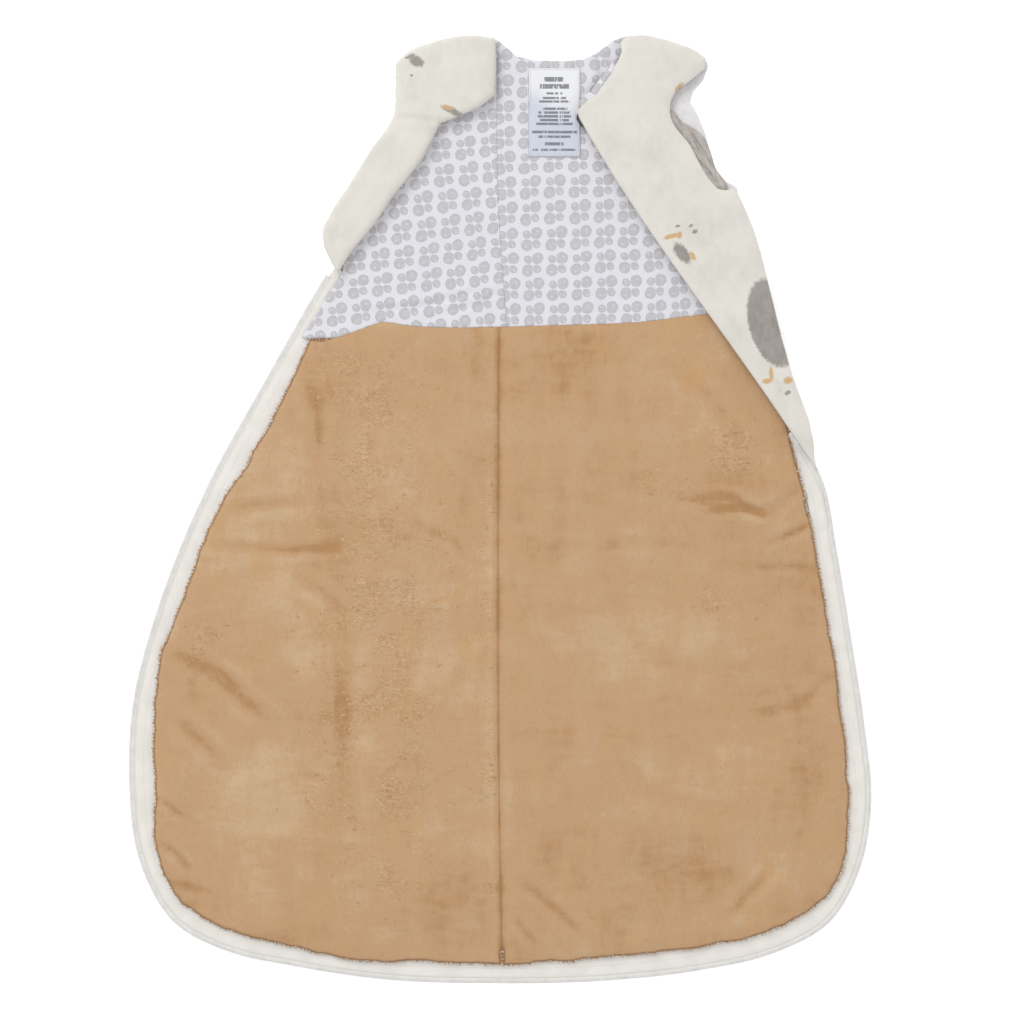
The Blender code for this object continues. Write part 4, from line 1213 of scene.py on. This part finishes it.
def make_seam_allowances():
    """The turned-in cloth under each seam, which shows as a dark line in the gap between two pieces. Under
    the skirt's seams its pile is set deep as painted shade.
    """
    low = top_of("back_wadding") - 0.1 * MM
    high = low_of("lining_skirt_left") + 0.05 * MM
    for name, pair, material, slot in (
        ("centre_seam_allowance", ("lining_skirt_left", "lining_skirt_right"), TAN_PLUSH, "plush_tan"),
        ("hem_allowance_left", ("lining_skirt_left", "lining_yoke_left"), TAN_PLUSH, "plush_tan"),
        ("hem_allowance_right", ("lining_skirt_right", "lining_yoke_right"), TAN_PLUSH, "plush_tan"),
        ("yoke_seam_allowance", ("lining_yoke_left", "lining_yoke_right"), COTTON_LEFT, "printed_cotton"),
    ):
        seam_allowance(name, shared_edge(*pair)[1:-1], low, high, material, slot)


def tape_piece(name, node, coil, body):
    """A zip tape, with how far each point is from its coil kept for the weave."""
    plan = Plan(outline_of(node), 2.6 * MM, (0.4,), 4)
    low, high = heights_of(node)
    path = spline(coil[:, :2], 6 * MM)
    far, share = nearest(plan.points, path, closed=False)
    length = length_of(path)
    wave = 0.12 * MM * noise(plan.points, 18, 31) * ease(plan.depth, 0, 3 * MM)
    crown = 0.2 * MM * ease(far, 2 * MM, 3.6 * MM) * ease(far, 6 * MM, 4 * MM)
    obj = sheet_mesh(
        name, plan, high + wave + crown, low + np.minimum(wave, 0), TAPE_WEAVE,
        across=far / MM, along=share * length / MM,
    )
    worn_by(obj, body, "zip_tape", node)
    width = max(plan.area() / length, 10.5 * MM)
    0.999 * plan.area()


def make_zip_tapes():
    """The three tapes, each with its coil."""
    tape_piece("back_tape", "back_zip_tape", BACK_COIL, "bag_back")
    tape_piece("flap_tape", "flap_zip_tape", FLAP_COIL, "front_flap")
    tape_piece("lapel_tape", "lapel_zip_tape", LAPEL_COIL, "lapel")
    for name, node, path, radius, spread, body in (
        ("back_coil", "back_zip_coil", BACK_COIL, 1.1, WIDE_FILLER, "bag_back"),
        ("flap_coil", "flap_zip_coil", FLAP_COIL, 1.1, WIDE_FILLER, "front_flap"),
        ("lapel_coil", "lapel_zip_coil", LAPEL_COIL, 0.85, NARROW_FILLER, "lapel"),
    ):
        obj = coil_mesh(name, path, radius * MM, spread, NYLON_COIL)
        worn_by(obj, body, "zip_nylon", node)


def height_on(name, places):
    """The height of a lining piece's top at plan places."""
    plan, top, _ = SURFACES[name]
    heights = np.empty(len(places))
    for i in range(0, len(places), 2000):
        part = places[i : i + 2000]
        gap = np.linalg.norm(part[:, None] - plan.points, axis=2)
        close = np.argpartition(gap, 3, axis=1)[:, :3]
        weight = 1 / (np.take_along_axis(gap, close, axis=1) + 0.1 * MM)
        heights[i : i + 2000] = (top[close] * weight).sum(1) / weight.sum(1)
    return heights


def free_edge(name, pitch):
    """The stretch of a skirt half's edge that lies on the tape."""
    edge = refined(SURFACES[name][0].loop, pitch)
    near = far_from(edge, BACK_COIL) < ON_TAPE
    return np.roll(edge, -run_start(near), axis=0)[: int(near.sum())]


def make_overlock():
    """White overlocking over the skirt's raw edge, onto the tape."""
    tape_top = top_of("back_zip_tape")
    for side in ("left", "right"):
        name = f"lining_skirt_{side}"
        edge = free_edge(name, 0.6 * MM)
        rng = np.random.default_rng(8)
        bold = 0.5 + 1.25 * ease(edge[:, 1], -20 * MM, 20 * MM) * (side == "right")
        swing = np.sin(np.arange(len(edge)) * math.pi / 2) * 1.2 * bold + rng.uniform(-0.4, 0.4, len(edge))
        plan = edge + inward_of(edge) * swing[:, None] * MM
        on_tan = height_on(name, plan) + 0.3 * MM
        z = np.where(swing > 0, on_tan, tape_top + 0.35 * MM) + rng.uniform(-0.1, 0.15, len(edge)) * MM
        obj = tube_mesh(f"overlock_{side}", np.column_stack([plan, z]), 0.32 * MM, THREADS, sides=5)
        worn_by(obj, "bag_back", "zip_tape")


def tuft_mesh(name, roots, headings, lengths, radius, lift, material, seed, joints=4, **values):
    """Short tapering locks of pile: low closed curved spikes from roots, lying over at their tips."""
    rng = np.random.default_rng(seed)
    count = len(roots)
    t = np.linspace(0, 1, joints)
    angle = headings[:, None] + rng.uniform(-1.3, 1.3, count)[:, None] * t
    step = (lengths / (joints - 1))[:, None, None] * np.stack([np.cos(angle), np.sin(angle)], axis=2)
    plan = roots[:, None, :2] + np.cumsum(step, axis=1) - step[:, :1]
    rise = lift * rng.uniform(0.6, 1.3, count)
    z = roots[:, 2, None] - 0.2 * MM + rise[:, None] * (2.6 * t - 2.2 * t * t)
    spine = np.concatenate([plan, z[:, :, None]], axis=2)
    side = np.stack([-np.sin(angle), np.cos(angle), np.zeros_like(angle)], axis=2)
    thick = (radius * rng.uniform(0.7, 1.3, count))[:, None, None] * (1 - 0.55 * t)[None, :, None]
    corners = [
        spine[:, :-1] + thick[:, :-1] * (math.cos(a) * side[:, :-1] + math.sin(a) * np.array([0, 0, 0.45]))
        for a in (math.pi / 2, math.pi * 7 / 6, math.pi * 11 / 6)
    ]
    rings = np.stack(corners, axis=2).reshape(count, -1, 3)
    points = np.concatenate([rings, spine[:, -1:]], axis=1)
    faces = [[2, 1, 0]]
    for k in range(joints - 2):
        faces += [[3 * k + j, 3 * k + (j + 1) % 3, 3 * k + 3 + (j + 1) % 3, 3 * k + 3 + j] for j in range(3)]
    last = 3 * (joints - 2)
    faces += [[last + j, last + (j + 1) % 3, last + 3] for j in range(3)]
    each = points.shape[1]
    every = [[v + i * each for v in face] for i in range(count) for face in faces]
    obj = object_of(name, points.reshape(-1, 3), every, material, smooth=False)
    for key, value in values.items():
        keep_value(obj, key, np.repeat(np.broadcast_to(value, count), each))
    return obj


def make_skirt_locks():
    """Standing locks in the skirt's fluffy patches, and the fibres that fray over its edge."""
    for side in ("left", "right"):
        name = f"lining_skirt_{side}"
        plan, _, values = SURFACES[name]
        rng = np.random.default_rng(17)
        chance = np.clip(values["fluff"], 0, 1) * (plan.depth > 4 * MM)
        picked = np.flatnonzero(rng.uniform(0, 1, len(chance)) < 0.85 * chance)
        spots = np.repeat(plan.points[picked], 3, axis=0)
        spots = spots + rng.uniform(-1.7, 1.7, spots.shape) * MM
        roots = np.column_stack([spots, height_on(name, spots)])
        headings = rng.normal(-0.1, 0.4, len(roots)) + math.pi * rng.integers(0, 2, len(roots))
        lengths = rng.uniform(1.8, 3.8, len(roots)) * MM
        tone = rng.uniform(-2.7, 1.4, len(roots))
        obj = tuft_mesh(
            f"skirt_locks_{side}", roots, headings, lengths, 0.62 * MM, 0.3 * MM, TAN_PLUSH, 18,
            nap=tone, fluff=0.2, edge=0.0,
        )
        worn_by(obj, "bag_back", "plush_tan")
        edge = free_edge(name, 0.8 * MM)
        inward = inward_of(edge)
        spots = edge + inward * rng.uniform(0.4, 1.6, len(edge))[:, None] * MM
        roots = np.column_stack([spots, height_on(name, spots) - 0.2 * MM])
        headings = np.arctan2(-inward[:, 1], -inward[:, 0]) + rng.normal(0, 0.6, len(edge))
        lengths = rng.uniform(1.4, 3.0, len(edge)) * MM
        tone = rng.uniform(-1.2, 1.4, len(edge))
        # Their edge values give them part of the painted shade along the skirt's free edge.
        obj = tuft_mesh(
            f"skirt_edge_fibres_{side}", roots, headings, lengths, 0.34 * MM, 0.2 * MM, TAN_PLUSH, 19, 3,
            nap=tone, fluff=0.0, edge=rng.uniform(0, 0.7, len(edge)),
        )
        worn_by(obj, "bag_back", "plush_tan")


def make_turn_tape():
    """The back's tape where it twists up under the lapel, beside its climbing coil."""
    high = top_of("back_zip_tape")
    tape = outline_of("back_zip_tape")
    tape_end = tape[tape[:, 0] > 0][:, 1].max()
    coil = BACK_COIL if BACK_COIL[0, 0] < 0 else BACK_COIL[::-1]
    coil = coil[(coil[:, 0] > 0) & (coil[:, 1] > tape_end - 34 * MM)]
    path = spline(coil, 2 * MM)
    inward = inward_of(path[:, :2])
    skirt = SURFACES["lining_skirt_right"][0].loop
    width = np.clip(2.5 * MM - depth_in(path[:, :2], skirt), 2.6 * MM, TURN_TAPE_WIDTH)
    width = np.convolve(np.pad(width, 4, mode="edge"), np.ones(9) / 9, "valid")
    loop = np.concatenate([path[:, :2] + inward * 1.3 * MM, (path[:, :2] + inward * width[:, None])[::-1]])
    plan = Plan(loop, 1.8 * MM, (0.4,), 14)
    far, share = nearest(plan.points, path[:, :2], closed=False)
    coil_z = point_at(path, share, closed=False)[:, 2]
    across = np.interp(share, np.linspace(0, 1, len(path)), width)
    level = high + 0.05 * MM + (coil_z - 0.4 * MM - high) * ease(far, 0.8 * across, 1 * MM)
    level = np.maximum(level, high + 0.05 * MM) - 0.75 * MM * ease(share, 0.12, 0.02)
    thick = 0.2 * MM + 0.25 * MM * ease(share, 0.05, 0.3)
    length = length_of(path)
    obj = sheet_mesh(
        "turn_tape", plan, level + thick, level, TAPE_WEAVE, across=far / MM, along=share * length / MM
    )
    worn_by(obj, "bag_back", "zip_tape")
    0.999 * plan.area()


def make_label():
    """The care label, curling a little, with its row of stitches."""
    low, high = (np.array(corner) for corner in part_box("care_label"))
    plan = Plan(outline_of("care_label"), 1.6 * MM, (0.3,), 6)
    curl = 0.35 * MM * noise(plan.points, 24, 41) + 0.25 * MM * ease(plan.depth, 0, 4 * MM)
    obj = sheet_mesh(
        "care_label_cloth", plan, high[2] + curl, high[2] - 0.35 * MM + curl, label_satin(low[:2], high[:2])
    )
    worn_by(obj, "bag_back", "label_satin", "care_label")
    plan.size()
    edge = moved(refined(outline_of("care_label"), 0.7 * MM), 0.9 * MM)
    z = high[2] + 0.32 * MM + 0.12 * MM * np.sin(np.arange(len(edge)) * math.pi / 2)
    stitched = tube_mesh("label_stitching", np.column_stack([edge, z]), 0.14 * MM, THREADS, sides=4)
    worn_by(stitched, "bag_back", "zip_tape")


def plush_piece(name, loop, low, high, rim, creases, pitch=FINE_PITCH, puff=0.6, material=CREAM_PLUSH):
    """A padded plush piece between two heights, rounded at its rim, with soft lumps."""
    plan = Plan(loop, pitch, PLUSH_RINGS, len(name))
    shape = rounded(plan.depth, rim * MM)
    middle = (low + high) / 2
    lumps = plush_lumps(plan.points, 0.35, 0.22, 0.10) * MM * ease(plan.depth, 0, 5 * MM)
    lumps = lumps + creased(plan.points, creases) * ease(plan.depth, 0, 4 * MM)
    rise = puff * MM * rounded(plan.depth, 30 * MM)
    top = middle + (high - middle + rise) * shape + lumps
    return sheet_mesh(name, plan, top, middle - (middle - low) * shape, material)


def make_front_left():
    """The front's left shoulder, and the layer that turns under it and goes on into the armhole."""
    low, high = low_of("front_left_lining"), top_of("front_left_shell")
    obj = plush_piece("left_shoulder_plush", LEFT_LOOP, low, high, 4.5, LEFT_PLUSH_CREASES, puff=1.4)
    worn_by(obj, "bag_back", "plush_cream", "front_left_shell", "front_left_lining")
    low, high = low_of("front_turn_shell"), top_of("front_turn_lining")
    obj = plush_piece("left_turn_plush", outline_of("front_turn_shell"), low, high, 2.0, [], HIDDEN_PITCH, 0)
    worn_by(obj, "bag_back", "plush_cream", "front_turn_shell", "front_turn_lining")


def make_armhole_wrap():
    """The fabric of the left armhole's edge, which rolls down from the shoulder to the folded flap."""
    loop = refined(LEFT_LOOP, 4 * MM)
    outside = depth_in(loop, BACK_LOOP) < -1.5 * MM
    path = np.roll(loop, -run_start(outside), axis=0)[: int(outside.sum())]
    swell = np.sin(math.pi * np.linspace(0, 1, len(path))) ** 0.45
    top = top_of("front_left_shell") - 2.0 * MM
    bottom = low_of("front_flap_shell") + 0.5 * MM
    turn = ring_turn(20)
    rings = []
    for p, n, s in zip(path, inward_of(path), swell):
        half_wide, half_high = (0.6 + 3.6 * s) * MM, (0.8 + s * (top - bottom) / 2 / MM) * MM
        middle = p + n * (4.4 * MM)
        x = np.cos(turn) * half_wide
        z = (top + bottom) / 2 + np.sin(turn) * half_high
        rings.append(np.column_stack([middle[0] - n[0] * x, middle[1] - n[1] * x, z]))
    rings = np.array(rings)
    rings[:, :, :2] += 0.3 * MM * noise(rings[:, :, :2].reshape(-1, 2), 7, 71).reshape(len(path), -1, 1)
    obj = tube_of_rings("left_armhole_wrap", rings, CREAM_PLUSH)
    middle = np.append(path[len(path) // 2], 0)
    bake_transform(obj)


def arch_drop(plan):
    """How far the front's right piece is lowered towards its side and shoulder seams."""
    points = node_mesh("front_right_shell")[0]
    high = points[:, 2].max()
    rim = points[points[:, 2] > points[:, 2].min() + 3.6 * MM]
    far = np.linalg.norm(plan[:, None] - rim[None, :, :2], axis=2)
    weight = 1 / (far + 2 * MM) ** 4
    top = np.where(rim[:, 2] > high - 0.01 * MM, high, rim[:, 2])
    return high - (weight * top).sum(1) / weight.sum(1)


def fold_line():
    """The lapel's fold: a point on it, and the plan direction across it towards the zip."""
    joint = next(j for j in frame["joints"] if j["name"] == "lapel_fold")
    place, axis = np.array(joint["pos_m"][:2]), np.array(joint["axis"][:2])
    across = np.array([axis[1], -axis[0]])
    zip_side = LAPEL_COIL[:, :2].mean(0) - place
    return place, across * np.sign(across @ zip_side)


def lapel_rim(plan):
    """A small rounding along the zip's edge, and a soft one elsewhere."""
    far = far_from(plan, LAPEL_COIL)
    return (1.5 + 4.0 * ease(far, 6 * MM, 30 * MM)) * MM


def bends_at_fold(obj):
    """Bakes a piece's placement into its mesh."""
    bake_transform(obj)


def make_front_right():
    """The front's right piece and its lapel in one plush piece."""
    place, across = fold_line()
    guard_low = top_of("zip_pull") + 0.3 * MM
    low = top_of("front_right_lining") + 0.3 * MM
    high = top_of("lapel_shell")
    plan = Plan(RIGHT_LOOP, FINE_PITCH, PLUSH_RINGS, 9)
    drop = arch_drop(plan.points)
    far_zip = far_from(plan.points, LAPEL_COIL)
    on_lapel = (plan.points - place) @ across > 0
    beside = ease(far_zip, 11 * MM, 8 * MM) * on_lapel
    bottom_full = low - drop + (guard_low - low) * beside
    shape = rounded(plan.depth, lapel_rim(plan.points))
    top_full = high - drop + 1.0 * MM * rounded(plan.depth, 34 * MM) * ease(far_zip, 6 * MM, 40 * MM)
    middle = (top_full + bottom_full) / 2
    lumps = plush_lumps(plan.points, 0.35, 0.2, 0.08) * MM * ease(plan.depth, 0, 6 * MM)
    lumps = lumps + creased(plan.points, RIGHT_PLUSH_CREASES) * ease(plan.depth, 0, 5 * MM)
    groove = -0.9 * MM * np.exp(-(((far_zip - 8.6 * MM) / (1.3 * MM)) ** 2)) * on_lapel
    top = middle + (top_full - middle) * shape + lumps + groove
    bottom = middle - (middle - bottom_full) * shape
    obj = sheet_mesh("right_front_plush", plan, top, bottom, CREAM_PLUSH)
    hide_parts("front_right_shell", "lapel_shell", "lapel_zip_guard")
    bends_at_fold(obj)


def make_right_lining():
    """The printed lining under the front's right piece and its lapel."""
    loop = merged([outline_of("front_right_lining"), outline_of("lapel_lining")])
    plan = Plan(loop, 4 * MM, (0.3, 0.9), 10)
    drop = arch_drop(plan.points)
    lining_low, lining_high = heights_of("lapel_lining")
    ripple = 0.12 * MM * noise(plan.points, 14, 55)
    obj = sheet_mesh(
        "right_front_lining", plan, lining_high - drop + ripple, lining_low - drop + ripple, COTTON_RIGHT
    )
    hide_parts("front_right_lining", "lapel_lining")
    plan.size()
    max(plan.area(), 0.301 * np.prod(plan.size()))
    bends_at_fold(obj)


def make_flap():
    """The rest of the front, folded under the back: plush above, lining on the floor."""
    plan = Plan(FLAP_LOOP, 4.6 * MM, (0.2, 0.6, 1.1), 12)
    low, high = low_of("front_flap_wadding"), top_of("front_flap_shell")
    tape_top = top_of("flap_zip_tape")
    far = far_from(plan.points, FLAP_COIL)
    bottom_full = tape_top + 0.25 * MM + (low - tape_top - 0.25 * MM) * ease(far, 20 * MM, 26 * MM)
    middle = (high + bottom_full) / 2
    shape = rounded(plan.depth, 3.5 * MM)
    lumps = 0.15 * MM * noise(plan.points, 9, 57) * ease(plan.depth, 0, 6 * MM)
    top = middle + (high - middle) * shape + np.minimum(lumps, 0.3 * MM)
    obj = sheet_mesh("flap_plush", plan, top, middle - (middle - bottom_full) * shape, CREAM_PLUSH)
    worn_by(obj, "front_flap", "plush_cream", "front_flap_shell", "front_flap_wadding")
    for level, slot in (("skirt", "plush_tan"), ("yoke", "printed_cotton")):
        for side in ("left", "right"):
            node = f"front_flap_{level}_{side}"
            plan = Plan(outline_of(node), 4.2 * MM, (0.3, 0.9), 13)
            low, high = heights_of(node)
            dents = 0.35 * noise(plan.points, (30, 44), 58, 15) + 0.2 * noise(plan.points, 11, 59)
            dents = np.abs(dents) * MM * ease(plan.depth, 0, 8 * MM)
            bottom = low + dents + 0.5 * MM * (1 - rounded(plan.depth, 3 * MM))
            if level == "skirt":
                material, values = TAN_PLUSH, dict(zip(("nap", "fluff"), nap_of(plan.points)), edge=0.0)
            else:
                material, values = (COTTON_LEFT if side == "left" else COTTON_RIGHT), {}
            obj = sheet_mesh(f"{node}_cloth", plan, high, bottom, material, **values)
            worn_by(obj, "front_flap", slot, node)
            plan.size()
            plan.area()


def make_armhole_roll():
    """The grey printed edge of the front's armhole, rolled up beside its facing."""
    loop = np.array([
        (113.6, 274.5), (115.0, 262.0), (121.0, 252.0), (127.0, 244.0), (132.6, 234.0), (138.6, 224.4),
        (147.0, 216.6), (155.4, 220.0), (155.6, 224.6), (148.2, 234.6), (144.4, 246.4), (140.2, 256.0),
        (132.6, 262.4), (124.4, 267.4), (119.0, 274.0),
    ]) * MM
    low = top_of("right_armhole_facing") + 0.2 * MM
    obj = plush_piece(
        "right_armhole_roll", loop, low, low + 3.6 * MM, 3.0, ROLL_CREASES, 1.6 * MM, 0.3, GREY_PLUSH
    )
    worn_by(obj, "bag_back", "plush_cream")


def make_neck_piping():
    """The lapel's print lining, rolled out along its neck edge."""
    edge = refined(outline_of("lapel_shell"), 1.2 * MM)
    place, across = fold_line()
    neck = edge[(edge[:, 1] > 272 * MM) & ((edge - place) @ across > 1.5 * MM)]
    neck = neck[far_from(neck, LAPEL_COIL) > 5 * MM]
    neck = neck[np.argsort(neck[:, 1])]
    out = inward_of(neck)
    share = np.linspace(0, 1, len(neck))
    wobble = noise(neck, 5, 81)
    half = (1.2 + 1.7 * np.sin(math.pi * share) ** 0.6 + 0.2 * wobble) * MM
    middle = neck + out * (1.0 * MM + 0.25 * wobble[:, None] * MM)
    z = low_of("lapel_lining") - 0.4 * MM
    turn = ring_turn(28)
    rings = []
    for m, n, h, s in zip(middle, out, half, share):
        pleats = h * (1 + 0.13 * np.cos(5 * turn + 7 * s) + 0.07 * np.cos(9 * turn - 16 * s))
        x = pleats * np.cos(turn)
        rings.append(np.column_stack([m[0] + n[0] * x, m[1] + n[1] * x, z + 0.85 * pleats * np.sin(turn)]))
    obj = tube_of_rings("lapel_neck_roll", np.array(rings), COTTON_RIGHT)
    worn_by(obj, "lapel", "printed_cotton")


def fuzz(name, loop, height, body, keep, seed):
    """Fibres that stand out from a plush edge."""
    edge = refined(loop, 0.85 * MM)
    edge = edge[keep(edge)]
    rng = np.random.default_rng(seed)
    inward = inward_of(edge)
    inward = inward * np.where(inside(edge + inward * 0.8 * MM, loop), 1.0, -1.0)[:, None]
    spots = edge + inward * rng.uniform(0.3, 2.4, len(edge))[:, None] * MM
    roots = np.column_stack([spots, height(spots) + rng.uniform(-1.2, 0.6, len(edge)) * MM])
    headings = np.arctan2(-inward[:, 1], -inward[:, 0]) + rng.normal(0, 0.7, len(edge))
    lengths = rng.uniform(1.4, 3.2, len(edge)) * MM
    obj = tuft_mesh(name, roots, headings, lengths, 0.28 * MM, 0.2 * MM, CREAM_PLUSH, seed, 3)
    worn_by(obj, body, "plush_cream")


def make_fuzz():
    """The fibres at the left shoulder's edge and at the right piece's, but for its zip and fold."""
    place, across = fold_line()
    left_z = low_of("front_left_shell") + 1.6 * MM
    right_z = low_of("front_right_shell") + 0.6 * MM
    fuzz("left_fuzz", LEFT_LOOP, lambda p: np.full(len(p), left_z), "bag_back", lambda p: p[:, 1] > 0, 21)

    def plain_edge(p):
        """Whether points are clear of both the zip and the fold."""
        on_back = (p - place) @ across < -3 * MM
        return on_back & (far_from(p, LAPEL_COIL) > 12 * MM)

    fuzz("right_fuzz", RIGHT_LOOP, lambda p: right_z - arch_drop(p), "bag_back", plain_edge, 22)


def dress_hard_parts():
    """Materials for the metal and moulded CAD nodes, which stay as they are."""
    for node, material in (
        ("zip_slider", GUNMETAL), ("zip_pull", GUNMETAL), ("zip_insertion_pin", GUNMETAL),
        ("zip_retainer_box", RESIN_MOULD), ("back_zip_end_stop", RESIN_MOULD),
    ):
        for slot in frame["nodes"][node].material_slots:
            slot.material = material


make_back_plush()
make_back_lining()
make_seam_allowances()
make_zip_tapes()
make_turn_tape()
make_overlock()
make_skirt_locks()
make_label()
make_front_left()
make_armhole_wrap()
make_front_right()
make_right_lining()
make_armhole_roll()
make_neck_piping()
make_fuzz()
make_flap()
dress_hard_parts()


# ---------------------------------------------------------------- floor, light and camera


def make_floor():
    """A plain pale floor just under the bag."""
    bpy.ops.mesh.primitive_plane_add(size=8, location=(0, 0, -0.3 * MM))
    floor = bpy.context.object
    floor.name = "floor"
    floor.data.materials.append(floor_paint())


def area_light(name, place, size, power):
    """A round light that faces the bag."""
    light = bpy.data.lights.new(name, "AREA")
    light.shape = "DISK"
    light.size = size
    light.energy = power
    obj = linked(name, light)
    obj.location = place
    obj.rotation_euler = (-Vector(place)).to_track_quat("-Z", "Y").to_euler()


def make_light():
    """An even pale sky, a large soft light from the upper left and a weak one from the right."""
    world = bpy.data.worlds.new("studio")
    world.use_nodes = True
    sky = world.node_tree.nodes["Background"].inputs
    sky["Color"].default_value = WHITE
    sky["Strength"].default_value = SKY_STRENGTH
    bpy.context.scene.world = world
    area_light("key", *KEY_LIGHT)
    area_light("fill", *FILL_LIGHT)
    bpy.context.scene.view_settings.view_transform = "Standard"


def make_camera():
    """The camera straight above the bag."""
    data = bpy.data.cameras.new("camera")
    data.lens = LENS
    data.sensor_width = SENSOR
    data.clip_start, data.clip_end = 0.05, 20
    camera = linked("camera", data)
    camera.location = (*VIEW_MIDDLE, VIEW_PLANE + VIEW_WIDTH * LENS / SENSOR)
    bpy.context.scene.camera = camera


make_floor()
make_light()
make_camera()
